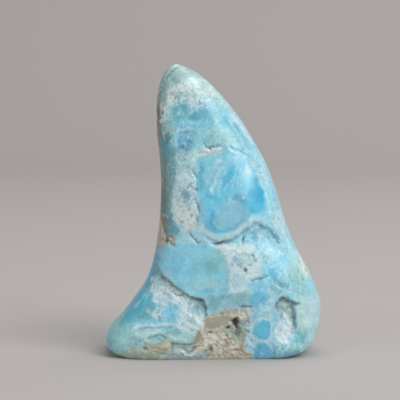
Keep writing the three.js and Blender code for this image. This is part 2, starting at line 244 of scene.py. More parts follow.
@dataclass
class StoneForm:
    """The smooth stone before anything breaks its surface.

    Each list gives a value at rising heights, as (height, value).
    """

    height: float = 97.5
    tip: Point = (-12.4, 0.2)
    left: Points = field(default_factory=lambda: [
        (0, -31.2), (1.2, -33.9), (3.2, -35.9), (5.5, -36.4), (8.5, -35.1), (12.5, -31.3),
        (18, -27.1), (25, -22.6), (31, -20.5), (38, -19.1), (46, -18.2), (56, -17.7),
        (66, -18.1), (76, -19.1), (84, -19.1), (90, -18.3), (94, -16.9), (96.2, -15.2),
        (97.3, -13.4),
    ])
    right: Points = field(default_factory=lambda: [
        (0, 26.0), (1, 29.3), (3, 32.4), (7, 34.9), (12, 36.2), (16.5, 36.4), (21, 35.2),
        (27, 32.6), (34, 28.9), (40, 26.0), (48, 23.3), (56, 20.8), (64, 17.7), (72, 13.4),
        (80, 8.3), (86, 3.5), (91, -1.3), (94.6, -5.9), (96.6, -9.8), (97.3, -11.6),
    ])
    front: Points = field(default_factory=lambda: [
        (0, -16.6), (1, -17.1), (5, -17.5), (15, -17.6), (30, -16.9), (45, -15.4), (60, -13.3),
        (75, -10.8), (85, -8.4), (92, -5.8), (96, -3.0), (97.3, -1.2),
    ])
    back: Points = field(default_factory=lambda: [
        (0, 15.6), (1.5, 16.6), (6, 17.3), (16, 17.5), (30, 16.8), (45, 15.2), (60, 13.1),
        (75, 11.0), (85, 8.8), (92, 6.3), (96, 3.6), (97.3, 1.6),
    ])
    blunt: Points = field(default_factory=lambda: [
        (0, 5.6), (8, 4.0), (25, 3.0), (50, 2.8), (80, 2.6), (97.3, 2.1),
    ])
    left_blunter: float = 0.5

    def thickness(self, u: np.ndarray, z: np.ndarray) -> np.ndarray:
        """Gives the share of the full thickness left at u, from -1 at the left to 1.

        Args:
            u: Places across the stone.
            z: Heights.

        Returns:
            A share from 0 at the edges to 1 in the middle.
        """
        power = through(self.blunt, z) - self.left_blunter * u
        return np.maximum(0, 1 - np.abs(u) ** power) ** (1 / power)

    def middle(self, z: np.ndarray) -> np.ndarray:
        """Gives the middle of the outline at each height."""
        return (through(self.left, z) + through(self.right, z)) / 2

    def half_width(self, z: np.ndarray) -> np.ndarray:
        """Gives half the width of the outline at each height."""
        return (through(self.right, z) - through(self.left, z)) / 2

    @staticmethod
    def swell(x: np.ndarray, z: np.ndarray) -> np.ndarray:
        """Gives the slow swells of a face that was ground and polished by hand."""
        return (
            0.4 * np.sin(0.11 * x + 0.07 * z + 0.6)
            + 0.3 * np.sin(0.19 * z - 0.13 * x + 2.1)
            + 0.15 * np.sin(0.27 * x + 0.16 * z + 4.0)
        )

    def depth(self, u: np.ndarray, z: np.ndarray, back: bool) -> np.ndarray:
        """Finds where a face lies.

        Args:
            u: Places across the stone.
            z: Heights.
            back: True for the back face.

        Returns:
            The y of the face at each place.
        """
        x = self.middle(z) + self.half_width(z) * u
        if back:
            full = through(self.back, z) - self.swell(x + 9, z + 40)
        else:
            full = through(self.front, z) + self.swell(x, z)
        return full * self.thickness(u, z)

    def ring(self, z: float, front_columns: int, back_columns: int) -> np.ndarray:
        """Walks round the stone at one height in even steps on each face.

        Args:
            z: The height.
            front_columns: Steps from the left edge to the right edge over the front.
            back_columns: Steps from the right edge to the left edge over the back.

        Returns:
            One row of x, y for each step, from the right edge over the back.
        """
        halves = []
        for back, columns in ((True, back_columns), (False, front_columns)):
            turn = np.linspace(0, math.pi, 1600)
            u = np.sign(np.cos(turn)) * np.abs(np.cos(turn)) ** 0.5
            u = u if back else -u
            height = np.full(len(u), z)
            x = self.middle(height) + self.half_width(height) * u
            y = self.depth(u, height, back)
            walked = np.concatenate([[0], np.cumsum(np.hypot(np.diff(x), np.diff(y)))])
            stops = np.linspace(0, walked[-1], columns + 1)[:-1]
            halves.append(np.stack([np.interp(stops, walked, x), np.interp(stops, walked, y)], 1))
        return np.concatenate(halves)


class Side(Enum):
    """The two broad faces, by the sign of their outward direction along y."""

    FRONT = -1
    BACK = 1


@dataclass(frozen=True)
class Ledge:
    """A step down from a rim that fades out towards a foot line.

    Rim corners are (x, z, depth) and foot corners (x, z), as many as the rim has.
    """

    rim: list[tuple[float, float, float]]
    foot: Points
    wall: float = 0.5

    def corners(self) -> Points:
        """Gives the corners that the ledge lies between."""
        return [(a, b) for a, b, _ in self.rim] + self.foot

    def depth(self, x: np.ndarray, z: np.ndarray) -> np.ndarray:
        """Gives how deep the ledge cuts at each place."""
        line = [(a, b) for a, b, _ in self.rim]
        inside = into_outline(x, z, [*line, *reversed(self.foot)])
        off_rim, along = to_line(x, z, line)
        off_foot, _ = to_line(x, z, self.foot)
        deep = np.interp(along, range(len(self.rim)), [d for _, _, d in self.rim])
        share = off_rim / np.maximum(off_rim + off_foot, 1e-6)
        floor = np.interp(share, [0, 0.1, 0.3, 0.55, 0.82, 1], [1, 0.98, 0.76, 0.46, 0.2, 0])
        return np.where(inside > 0, deep * floor * ease(-0.05, self.wall, off_rim), 0)


@dataclass(frozen=True)
class Hollow:
    """A bowl inside a closed outline, deeper at its top than at its bottom."""

    outline: Points
    top: float
    bottom: float
    wall: float = 1.6
    lumps: float = 0.2

    def corners(self) -> Points:
        """Gives the corners that the hollow lies between."""
        return self.outline

    def depth(self, x: np.ndarray, z: np.ndarray) -> np.ndarray:
        """Gives how deep the hollow cuts at each place."""
        inside = into_outline(x, z, self.outline)
        heights = [b for _, b in self.outline]
        deep = np.interp(z, [min(heights), max(heights)], [self.bottom, self.top])
        rough = 1 + self.lumps * np.sin(1.9 * x + 0.6) * np.sin(1.7 * z + 1.0)
        return deep * rough * ease(-0.1, self.wall, inside)


@dataclass(frozen=True)
class Crack:
    """A groove along a line that runs out at both ends."""

    line: Points
    width: float
    deep: float

    def corners(self) -> Points:
        """Gives the corners that the crack lies between."""
        return self.line

    def depth(self, x: np.ndarray, z: np.ndarray) -> np.ndarray:
        """Gives how deep the crack cuts at each place."""
        off, along = to_line(x, z, self.line)
        end = len(self.line) - 1
        open_share = np.sin(np.pi * np.clip(along / end, 0.04, 0.96)) ** 0.5
        return self.deep * open_share * np.exp(-((off / (0.6 * self.width)) ** 2))


@dataclass(frozen=True)
class Pore:
    """A small round pit."""

    x: float
    z: float
    radius: float
    deep: float
    tall: float = 1.0

    def corners(self) -> Points:
        """Gives the corners that the pore lies between."""
        reach = self.radius * self.tall
        return [(self.x - self.radius, self.z - reach), (self.x + self.radius, self.z + reach)]

    def depth(self, x: np.ndarray, z: np.ndarray) -> np.ndarray:
        """Gives how deep the pore cuts at each place."""
        off = np.hypot(x - self.x, (z - self.z) / self.tall) / self.radius
        return self.deep * np.clip(1.15 - off**2, 0, 1)


@dataclass(frozen=True)
class Lip:
    """A raised thread along a line, where a harder crust stands proud of the polish."""

    line: Points
    width: float
    high: float

    def corners(self) -> Points:
        """Gives the corners that the lip lies between."""
        return self.line

    def depth(self, x: np.ndarray, z: np.ndarray) -> np.ndarray:
        """Gives how far the lip stands out at each place, as a depth below 0."""
        off, along = to_line(x, z, self.line)
        share = np.sin(np.pi * np.clip(along / (len(self.line) - 1), 0.06, 0.94)) ** 0.5
        return -self.high * share * np.exp(-((off / self.width) ** 2))


def front_relief() -> list[Ledge | Hollow | Crack | Pore | Lip]:
    """Lists what breaks the front face.

    Returns:
        The ledges, hollows, cracks, pores and lips of the front.
    """
    foot_ledge = Ledge(
        [(-19.2, 35.0, 0.2), (-18.6, 31.5, 0.7), (-18.0, 28.8, 1.2), (-16.0, 26.2, 1.5),
         (-13.5, 24.6, 1.2), (-10.5, 22.9, 1.0), (-8.0, 21.3, 1.1), (-5.5, 20.8, 1.6),
         (-3.4, 19.8, 1.7), (-2.3, 17.6, 1.3), (-2.0, 14.6, 0.5)],
        [(-20.4, 32.0), (-22.0, 28.0), (-23.5, 23.0), (-23.0, 18.0), (-20.0, 15.5),
         (-16.5, 14.0), (-13.5, 13.0), (-11.5, 12.5), (-9.5, 12.0), (-7.5, 11.5), (-5.5, 11.5)],
        0.3,
    )
    under_lens = Ledge(
        [(-3.4, 41.8, 0.2), (-1.0, 40.4, 0.8), (1.8, 39.6, 1.3), (4.8, 39.9, 1.3),
         (7.6, 41.2, 1.1), (10.4, 43.2, 0.9), (12.6, 45.8, 0.8)],
        [(-3.2, 40.0), (-0.4, 38.2), (2.6, 37.2), (6.2, 36.2), (9.6, 35.6), (13.0, 35.6),
         (16.5, 37.0)],
        0.9,
    )
    under_arc = Ledge(
        [(12.4, 45.9, 0.8), (15.0, 45.6, 0.9), (17.6, 44.4, 0.9), (19.6, 42.6, 0.8),
         (21.0, 40.4, 1.0), (22.0, 38.0, 1.0), (22.5, 35.4, 0.3)],
        [(12.6, 37.6), (13.8, 37.0), (15.0, 36.4), (16.2, 36.0), (17.4, 35.4), (18.8, 34.8),
         (20.4, 34.2)],
        1.3,
    )
    matrix_step = Ledge(
        [(-16.0, 6.4, 0.2), (-13.0, 5.9, 0.6), (-10.0, 5.6, 0.7), (-7.6, 5.7, 0.8),
         (-6.5, 7.2, 0.7), (-5.4, 9.4, 0.3)],
        [(-15.6, 4.4), (-12.6, 3.0), (-9.4, 2.2), (-6.0, 2.2), (-4.0, 4.6), (-3.2, 8.0)],
    )
    cave = Hollow(
        [(20.0, 18.0), (20.3, 19.6), (21.5, 20.8), (23.2, 21.2), (24.8, 20.9), (26.0, 19.8),
         (27.2, 18.9), (28.9, 18.2), (26.9, 17.4), (26.8, 15.6), (27.4, 13.4), (27.3, 10.6),
         (26.6, 7.6), (24.8, 5.2), (22.6, 4.9), (20.8, 7.0), (20.2, 10.2), (21.3, 13.2),
         (20.9, 15.6)],
        2.3, 0.7, 1.3, 0.12,
    )
    hole = Hollow(
        [(5.7, 12.3), (6.9, 13.9), (7.7, 14.5), (8.4, 13.2), (8.3, 11.2), (7.2, 10.2), (6.4, 11.2)],
        2.6, 1.6, 0.8,
    )
    return [
        foot_ledge, under_lens, under_arc, matrix_step, cave, hole,
        Crack([(-3.0, 70.9), (-2.2, 70.2), (-1.4, 69.7), (-0.6, 70.4), (0.4, 70.2)], 0.6, 1.1),
        Crack([(0.2, 69.6), (1.0, 70.3), (1.8, 70.6), (2.8, 70.3)], 0.6, 0.9),
        Crack([(-6.0, 67.6), (-4.6, 68.3), (-3.2, 68.5)], 0.5, 0.4),
        Crack([(5.8, 69.7), (8.4, 68.4), (10.6, 67.7), (12.4, 65.6)], 0.6, 0.5),
        Crack([(-7.0, 62.4), (-6.2, 61.2), (-5.4, 60.1)], 0.7, 0.8),
        Crack([(-6.2, 52.8), (-5.4, 50.8), (-4.9, 49.2), (-5.0, 48.0)], 0.6, 0.8),
        Crack([(-8.0, 42.0), (-7.0, 40.3), (-5.8, 39.4), (-4.6, 39.2)], 0.7, 0.8),
        Crack([(-0.6, 38.3), (1.4, 38.5), (3.6, 39.5)], 0.9, 1.5),
        Crack([(10.2, 40.9), (9.8, 39.9), (9.6, 38.8)], 0.8, 1.2),
        Crack([(8.4, 18.0), (10.4, 18.1), (12.6, 17.6)], 0.7, 0.8),
        Crack([(13.0, 26.6), (14.4, 27.2), (16.2, 27.5), (18.2, 28.1)], 0.8, 1.0),
        Crack([(-14.2, 22.4), (-12.4, 21.5), (-10.2, 21.6), (-9.3, 20.0)], 0.6, 1.0),
        Crack([(5.6, 3.4), (7.2, 3.0), (8.8, 3.1)], 0.8, 0.7),
        Crack([(-13.7, 6.0), (-13.9, 4.4), (-13.8, 3.0)], 0.7, 0.8),
        Crack([(-10.4, 3.8), (-9.2, 2.9), (-7.6, 3.0), (-6.2, 4.4)], 0.8, 0.6),
        Crack([(-16.2, 46.4), (-16.1, 43.5), (-16.1, 41.0), (-15.4, 38.7)], 0.9, 1.4),
        Crack([(-15.8, 41.0), (-14.4, 40.5), (-12.4, 39.6)], 0.7, 0.8),
        Crack([(-15.0, 39.4), (-14.0, 38.3), (-12.8, 37.8)], 0.7, 0.8),
        Crack([(-15.6, 92.8), (-14.4, 94.4), (-13.0, 95.6), (-11.8, 96.4)], 0.6, 0.35),
        Crack([(2.7, 20.4), (3.3, 21.4), (3.8, 22.4)], 0.5, 0.3),
        Crack([(28.0, 34.4), (29.0, 31.4), (30.2, 28.2)], 0.9, 0.6),
        Crack([(-26.0, 9.7), (-22.6, 10.2), (-20, 10.2), (-17, 10.9), (-13.6, 10.7)], 0.7, 0.35),
        Crack([(-22.6, 6.9), (-19.4, 8.1), (-17.2, 8.2), (-15.0, 6.9)], 0.6, 0.35),
        Pore(-17.2, 45.4, 0.9, 1.2, 1.7), Pore(-15.7, 39.6, 0.9, 1.2, 1.3),
        Pore(-13.9, 39.4, 0.9, 0.6, 0.8), Pore(-18.0, 40.2, 0.8, 1.0, 2.0),
        Pore(-5.8, 56.2, 0.7, 0.8, 0.7), Pore(-5.3, 46.4, 0.5, 0.6, 2.0),
        Pore(10.3, 29.7, 0.85, 1.3), Pore(13.1, 34.8, 0.55, 0.8), Pore(11.4, 9.5, 0.6, 0.6),
        Pore(-8.7, 46.0, 0.4, 0.4), Pore(-10.2, 45.3, 0.4, 0.4), Pore(8.8, 14.8, 0.45, 0.4),
        Pore(29.7, 26.0, 0.5, 0.4), Pore(29.4, 21.0, 0.5, 0.4), Pore(4.4, 11.0, 0.8, 1.1),
        Pore(5.2, 7.1, 1.0, 0.8, 0.5), Pore(4.1, 8.1, 0.8, 0.6, 0.5),
        Pore(-1.0, 9.3, 0.8, 0.8, 0.7), Pore(-0.9, 3.5, 0.7, 0.9, 1.3),
        Pore(2.4, 15.5, 1.0, 0.4, 0.5), Pore(-22.7, 3.9, 0.8, 0.7, 0.7),
        Pore(5.7, 12.9, 0.6, 0.8), Pore(6.0, 4.6, 0.6, 0.4), Pore(2.9, 3.4, 0.7, 0.4),
        Lip([(-3.4, 69.4), (-2.0, 69.0), (-0.4, 69.3), (0.8, 68.9), (2.2, 69.2)], 0.45, 0.3),
        Lip([(5.4, 69.0), (7.8, 68.0), (10.2, 67.1), (11.6, 65.2)], 0.45, 0.15),
        Lip([(-27.0, 10.2), (-23.0, 11.2), (-20.0, 11.1), (-17.0, 11.9), (-12.0, 11.4)], 0.5, 0.25),
        Lip([(-19.6, 24.4), (-16.6, 23.4), (-13.6, 21.2), (-11.0, 19.2)], 0.5, 0.3),
        Lip([(-18.6, 21.4), (-16.0, 19.8), (-12.6, 18.8), (-9.4, 16.4)], 0.45, 0.25),
        Lip([(-10.4, 15.0), (-7.6, 14.4), (-5.0, 12.2), (-3.4, 11.0)], 0.5, 0.3),
        Lip([(-9.6, 12.0), (-7.0, 10.8), (-5.0, 9.6)], 0.45, 0.25),
        Crack([(-9.6, 16.8), (-7.4, 15.0), (-6.8, 13.2)], 0.6, 0.5),
        Crack([(-18.4, 23.6), (-16.8, 22.0), (-14.6, 21.0)], 0.6, 0.4),
        Lip([(-23.4, 7.4), (-20.2, 9.0), (-17.8, 9.2), (-15.4, 8.0), (-12.4, 7.2)], 0.45, 0.25),
        Lip([(-3.8, 44.4), (-2.6, 42.2), (-0.6, 41.2), (2.0, 40.8), (4.6, 41.1), (7.4, 42.4),
             (10.0, 44.4)], 0.6, 0.2),
        Lip([(-10.5, 3.0), (-9.5, 2.1), (-8.0, 1.9), (-6.5, 2.4), (-5.2, 3.3)], 0.45, 0.15),
        Lip([(14.0, 26.2), (15.8, 26.7), (17.6, 27.0)], 0.5, 0.15),
    ]


def back_relief() -> list[Ledge | Hollow | Crack | Pore | Lip]:
    """Lists what breaks the back face.

    Returns:
        The ledge, hollow, cracks and pores of the back.
    """
    return [
        Ledge(
            [(18.4, 47.0, 0.3), (16.2, 42.8, 0.9), (12.6, 39.8, 1.3), (7.6, 39.0, 1.4),
             (2.6, 37.4, 1.2), (-3.4, 37.8, 1.0), (-9.6, 35.4, 0.7), (-14.0, 35.8, 0.3)],
            [(21.0, 43.0), (19.0, 38.0), (14.6, 34.6), (9.0, 33.6), (3.6, 32.0), (-3.0, 32.6),
             (-9.0, 31.0), (-14.0, 32.0)],
        ),
        Hollow(
            [(12.0, 22.4), (15.2, 24.6), (19.0, 23.8), (21.4, 20.2), (19.8, 16.4), (15.6, 15.2),
             (12.4, 18.0)],
            1.8, 0.6,
        ),
        Ledge(
            [(-21.0, 6.6, 0.2), (-16.0, 6.0, 0.7), (-12.0, 6.6, 0.8), (-8.0, 8.6, 0.8),
             (-3.0, 7.8, 0.8), (2.0, 8.8, 0.9), (6.0, 9.6, 0.6), (11.0, 6.2, 0.2)],
            [(-20.0, 3.4), (-15.4, 2.4), (-11.4, 2.4), (-7.0, 3.4), (-2.0, 3.0), (2.4, 3.6),
             (6.0, 3.6), (9.6, 2.4)],
        ),
        Crack([(-6.0, 66.0), (-2.4, 64.2), (2.2, 64.6)], 0.8, 0.9),
        Crack([(-9.6, 64.6), (-8.2, 63.4), (-7.6, 62.0)], 0.7, 0.7),
        Crack([(-24.0, 12.4), (-20.0, 14.2), (-15.0, 13.4)], 0.8, 1.0),
        Crack([(-11.6, 52.4), (-9.0, 50.6), (-8.2, 47.4), (-5.4, 45.6)], 0.7, 0.8),
        Crack([(1.0, 26.6), (1.8, 24.4), (1.2, 22.6)], 0.7, 0.7),
        Crack([(-8.6, 6.8), (-6.0, 4.0), (-6.6, 1.4)], 0.7, 0.6),
        Crack([(24.6, 27.0), (27.0, 24.6), (27.6, 21.4)], 0.7, 0.6),
        Pore(-8.6, 24.6, 0.6, 0.8), Pore(-3.0, 12.2, 0.8, 1.0), Pore(5.4, 8.0, 0.9, 0.9, 0.7),
        Pore(5.0, 19.6, 0.8, 1.1), Pore(2.6, 25.0, 0.5, 0.6), Pore(-1.0, 62.8, 0.6, 0.8),
        Pore(5.6, 61.0, 0.5, 0.6), Pore(-11.0, 3.2, 0.8, 0.8), Pore(1.4, 4.4, 0.7, 0.7, 0.5),
        Lip([(-7.6, 65.0), (-3.0, 63.2), (1.6, 63.6), (4.0, 64.2)], 0.5, 0.2),
        Lip([(-25.0, 18.0), (-18.0, 15.0), (-10.0, 16.4), (-2.0, 13.6), (6.0, 14.4)], 0.6, 0.25),
    ]


# The crusts, laid over each other in the order that they are listed; some of them are painted shade
# or painted highlights

@dataclass(frozen=True)
class Crust:
    """A patch of one mineral with a soft, wandering edge.

    The outline is its corners in millimetres. Speckle is how much chalk is mixed in, and rough is
    how far the patch is from polished.
    """

    mineral: Mineral
    strength: float
    outline: Points
    soft: float = 0.7
    speckle: float | None = None
    rough: float | None = None

    def corners(self) -> Points:
        """Gives the corners that the patch lies between."""
        return self.outline

    def share(self, x: np.ndarray, z: np.ndarray, ragged: np.ndarray) -> np.ndarray:
        """Gives how much of the surface the patch covers at each place."""
        inside = into_outline(x, z, rounded(self.outline, closed=True))
        return self.strength * ease(-self.soft, self.soft, inside + 1.8 * self.soft * ragged)


@dataclass(frozen=True)
class Spot:
    """A small blot of one mineral, as a middle and two radii in millimetres."""

    mineral: Mineral
    strength: float
    x: float
    z: float
    wide: float
    tall: float
    speckle: float | None = None
    rough: float | None = None

    def corners(self) -> Points:
        """Gives the corners that the blot lies between."""
        return [(self.x - self.wide, self.z - self.tall), (self.x + self.wide, self.z + self.tall)]

    def share(self, x: np.ndarray, z: np.ndarray, ragged: np.ndarray) -> np.ndarray:
        """Gives how much of the surface the blot covers at each place."""
        off = np.hypot((x - self.x) / self.wide, (z - self.z) / self.tall)
        return self.strength * ease(1.35, 0.65, off + 0.7 * ragged)


@dataclass(frozen=True)
class Thread:
    """A vein, a dark line, or a painted line of shadow or highlight, in one mineral's colour, with
    its width in millimetres.
    """

    mineral: Mineral
    strength: float
    line: Points
    width: float = 0.5
    speckle: float | None = None
    rough: float | None = None

    def corners(self) -> Points:
        """Gives the corners that the thread lies between."""
        return self.line

    def share(self, x: np.ndarray, z: np.ndarray, ragged: np.ndarray) -> np.ndarray:
        """Gives how much of the surface the thread covers at each place."""
        off, _ = to_line(x, z, rounded(self.line, closed=False))
        whole = np.clip(0.9 + 1.2 * ragged, 0.35, 1.0)
        return self.strength * whole * np.exp(-((off / (0.62 * self.width)) ** 2))


Paint = Crust | Spot | Thread


def tip_crusts() -> list[Paint]:
    """Lists the crusts above the big lens, up to the tip."""
    m = Mineral
    return [
        Crust(m.ICE, 0.8, [(-20, 66), (-20, 90), (-4, 90), (20, 66), (16, 62)], 2.0, 0.25, 0.0),
        Crust(m.MINT, 0.8, [(-20, 82), (-18, 99), (-6, 99), (6, 86), (11, 77), (5, 80), (0, 84),
              (-8, 83)], 1.4, 0.35, 0.05),
        Crust(m.SAGE, 0.7, [(-20, 84), (-19, 94), (-16, 97), (-13, 95.6), (-11.4, 93.6),
              (-11, 90.4), (-14.4, 88.6), (-15.6, 84)], 1.8, 0.3, 0.1),
        Crust(m.MINT, 0.8, [(-7.6, 96), (-3, 93), (1.2, 88.6), (5.6, 83.4), (3, 84.6), (-2, 88),
              (-5.4, 90.6), (-9, 93.6)], 1.0, 0.45, 0.05),
        Crust(m.SAGE, 0.5, [(-16.4, 92), (-13.4, 97.6), (-8, 97.6), (-3.4, 93.6), (-8, 92.6),
              (-12, 93)], 1.2, 0.2, 0.05),
        Crust(m.SKY, 0.85, [(-12, 79), (-4, 79.5), (2, 83), (8, 79), (14, 70), (18, 62), (8, 66),
              (-2, 71), (-12, 68), (-15, 73)], 1.4, 0.3, 0.0),
        Crust(m.MINT, 0.75, [(-15.4, 84), (-15, 88.6), (-12.6, 90.8), (-8, 91), (-4.6, 89.4),
              (-3.6, 86), (-6.4, 84.4), (-9, 84.6), (-11.4, 87), (-13.4, 84)], 1.6, 0.6, 0.35),
        Spot(m.MIST, 0.8, -8.6, 84.6, 4.6, 1.8, 0.7),
        Spot(m.OLIVE, 0.45, -9.6, 89.4, 2.0, 0.8, 0.6),
        Spot(m.CREAM, 0.6, -9.4, 89.6, 3.4, 1.6, 0.7), Spot(m.CREAM, 0.5, -14.2, 85.8, 1.2, 2.0),
        Spot(m.CREAM, 0.4, -3.4, 88.2, 3.0, 0.8), Spot(m.MINT, 0.7, -12.4, 89.4, 1.2, 1.6, 0.5),
        Spot(m.MIST, 0.6, -9.0, 88.6, 1.0, 1.6, 0.8), Spot(m.SAGE, 0.5, -6.0, 87.4, 2.0, 0.8, 0.6),
        Spot(m.OLIVE, 0.4, -12.0, 87.4, 1.2, 1.4, 0.6),
        Thread(m.SLATE, 0.55, [(-12.8, 90.2), (-11.2, 89.0), (-10.4, 87.4), (-8.6, 86.8)], 0.4),
        Thread(m.SLATE, 0.5, [(-9.8, 90.4), (-8.8, 88.8), (-7.0, 88.6), (-5.6, 87.0)], 0.4),
        Thread(m.SLATE, 0.4, [(-13.6, 88.0), (-12.8, 86.2), (-11.2, 85.6)], 0.4),
        Thread(m.SNOW, 0.6, [(-12.0, 90.6), (-10.4, 90.2), (-9.4, 88.4), (-7.6, 87.8)], 0.5),
        Thread(m.SNOW, 0.5, [(-7.4, 90.2), (-5.6, 89.0), (-4.2, 88.6)], 0.5),
        Thread(m.SNOW, 0.6, [(-15.2, 88.6), (-14.8, 87.0), (-15.1, 85.6)], 0.5),
        # Painted highlight: a white, fully polished spot where the glint sits on the tip's right
        # shoulder
        Spot(m.SNOW, 0.85, -7.0, 92.2, 2.0, 1.2, 0.1, 0.0),
        Spot(m.TEAL, 0.3, -15.8, 90.4, 1.0, 1.6), Spot(m.TEAL, 0.4, -13.2, 92.2, 1.6, 1.0),
        Spot(m.MINT, 0.9, -12.4, 96.6, 3.0, 1.2, 0.0), Spot(m.TEAL, 0.6, -11.6, 86.2, 1.0, 1.6),
        Spot(m.LAGOON, 0.5, -3.0, 85.4, 1.2, 1.8), Spot(m.LILAC, 0.55, -2.4, 84.4, 2.6, 1.6, 0.6),
        Spot(m.SEAFOAM, 0.7, 2.6, 84.2, 2.2, 2.4, 0.3),
        Crust(m.LAGOON, 0.8, [(-14, 80), (-13, 84.5), (-9.5, 84), (-8, 80.5), (-11, 78.5)], 0.8,
              0.4),
        Crust(m.TEAL, 0.85, [(-8.6, 79), (-8, 81.2), (-5, 81.4), (-4, 80), (-5.5, 78.8)], 0.6, 0.1),
        Crust(m.LAGOON, 0.65, [(-5.5, 79), (-4.5, 82.5), (-1, 83), (2.2, 81.5), (2, 79.2),
              (-2, 78.6)], 0.7, 0.2),
        Spot(m.AZURE, 0.85, 3.0, 78.2, 1.6, 2.0, 0.1), Spot(m.TEAL, 0.5, -7.0, 79.8, 1.4, 1.0, 0.0),
        # Painted highlight along the right edge, laid as white veins
        Thread(m.SNOW, 0.75, [(5.6, 80.8), (7.6, 78.4), (9.4, 76.0), (11.0, 73.2), (12.4, 70.8)],
               1.1, 0.4),
        Thread(m.SNOW, 0.6, [(4.4, 79.8), (5.8, 78.4), (6.6, 76.8)], 0.6, 0.4),
        Thread(m.SNOW, 0.45, [(7.4, 75.6), (8.8, 73.0), (9.6, 70.6)], 0.6, 0.4),
        Thread(m.AZURE, 0.4, [(6.8, 78.0), (8.2, 75.6), (9.8, 73.2)], 0.6, 0.2),
        Thread(m.SNOW, 0.4, [(-8.6, 77.6), (-5.4, 78.2), (-2.2, 77.0), (0.8, 77.6)], 0.5, 0.4),
        Thread(m.SNOW, 0.4, [(-6.0, 76.0), (-3.2, 76.6), (-0.6, 75.6)], 0.5, 0.4),
        Thread(m.CHALK, 0.45, [(-1.2, 80.4), (0.6, 79.0), (1.4, 77.0)], 0.5, 0.4),
        Crust(m.SKY, 0.6, [(-12, 74), (-12, 79), (-2, 78.6), (0, 76), (-4, 74)], 0.8, 0.3),
        Spot(m.LILAC, 0.5, -10.8, 77.2, 1.8, 1.0, 0.6),
        Crust(m.SEAFOAM, 0.7, [(-7, 75), (-2, 75.4), (4, 76.2), (7.6, 73), (6.4, 70.4), (1, 71.6),
              (-6, 71.6)], 1.4, 0.3),
        Crust(m.DENIM, 0.6, [(-12, 68.5), (-12.2, 71), (-11.4, 74.6), (-8.6, 75.4), (-7, 73.4),
              (-7.2, 70), (-8.6, 68.4)], 1.1, 0.4),
        Thread(m.ICE, 0.6, [(-12.4, 72.8), (-10.4, 73.8), (-8.0, 74.4)], 0.5, 0.4),
        Thread(m.ICE, 0.5, [(-11.8, 70.6), (-9.8, 71.8), (-7.6, 72.4)], 0.4, 0.4),
        Spot(m.ICE, 0.4, -9.4, 73.2, 1.2, 0.4), Spot(m.DEEP_TEAL, 0.45, -10.6, 70.2, 0.8, 0.7),
        Spot(m.DEEP_TEAL, 0.4, -8.0, 72.0, 0.9, 0.6), Spot(m.TEAL, 0.2, -0.4, 73.6, 1.4, 1.2),
        Thread(m.SNOW, 0.5, [(-16.6, 74.8), (-13.6, 75.0), (-11, 75.8), (-7, 76.0)], 0.5, 0.3),
        Thread(m.SNOW, 0.5, [(-12.9, 75.0), (-12.5, 72.4), (-12.6, 69.8)], 0.4, 0.3),
        Thread(m.SNOW, 0.35, [(-11.6, 73.4), (-9.6, 74.2), (-8.0, 73.4)], 0.4, 0.3),
        Crust(m.SAGE, 0.75, [(-17, 74.8), (-15.8, 79.6), (-13.2, 77), (-12.6, 75.2)], 0.5, 0.1),
        Crust(m.DEEP_TEAL, 0.8, [(-16.8, 71), (-16.4, 74.4), (-14.4, 75), (-13.6, 72.4),
              (-14.6, 70.6)], 0.6, 0.1),
        Spot(m.SAGE, 0.5, -13.4, 71.6, 0.6, 1.4),
        # Painted shade: slate on the left rim, the side turned from the key light
        Crust(m.SLATE, 0.7, [(-19, 68), (-19, 74), (-16.6, 73.6), (-16.4, 69)], 0.7, 0.1, 0.15),
        Thread(m.CREAM, 0.5, [(-16.2, 70.8), (-16.5, 73.2), (-17.2, 74.6)], 0.35),
        # Painted shade: a faint teal over the upper face and a steel tint down the right margin
        # darken where the lights fall brightest
        Crust(m.TEAL, 0.16, [(-14, 83), (4, 83), (14, 70), (18, 60), (14, 66), (8, 70), (-6, 72),
              (-14, 74)], 2.0),
        Crust(m.STEEL, 0.25, [(5, 84), (12, 75), (19, 62), (24, 48), (20, 48), (16, 60), (10, 70)],
              1.6),
        # Painted shade: brown, umber and slate down the upper left rim, the side turned from the
        # key light
        Crust(m.BROWN, 0.85, [(-20.5, 73), (-20.5, 88), (-18.0, 87.4), (-17.2, 80), (-17.3, 74)],
              0.5, 0.2, 0.4),
        Spot(m.UMBER, 0.5, -18.9, 80.4, 0.9, 3.0, 0.2, 0.5),
        Spot(m.SLATE, 0.5, -17.4, 89.0, 1.2, 4.0),
        Crust(m.OLIVE, 0.7, [(-17.9, 78.4), (-17.8, 84), (-16.4, 84.4), (-15.4, 81.6),
              (-16.2, 78.6)], 0.5, 0.9, 0.45),
        Crust(m.SAGE, 0.7, [(-19.5, 84.5), (-18.5, 91.5), (-16.2, 92), (-16.6, 84.6)], 0.7, 0.3,
              0.2),
        Thread(m.SLATE, 0.6, [(-15.6, 92.8), (-14.4, 94.4), (-13.0, 95.6), (-11.8, 96.4)], 0.45),
    ]


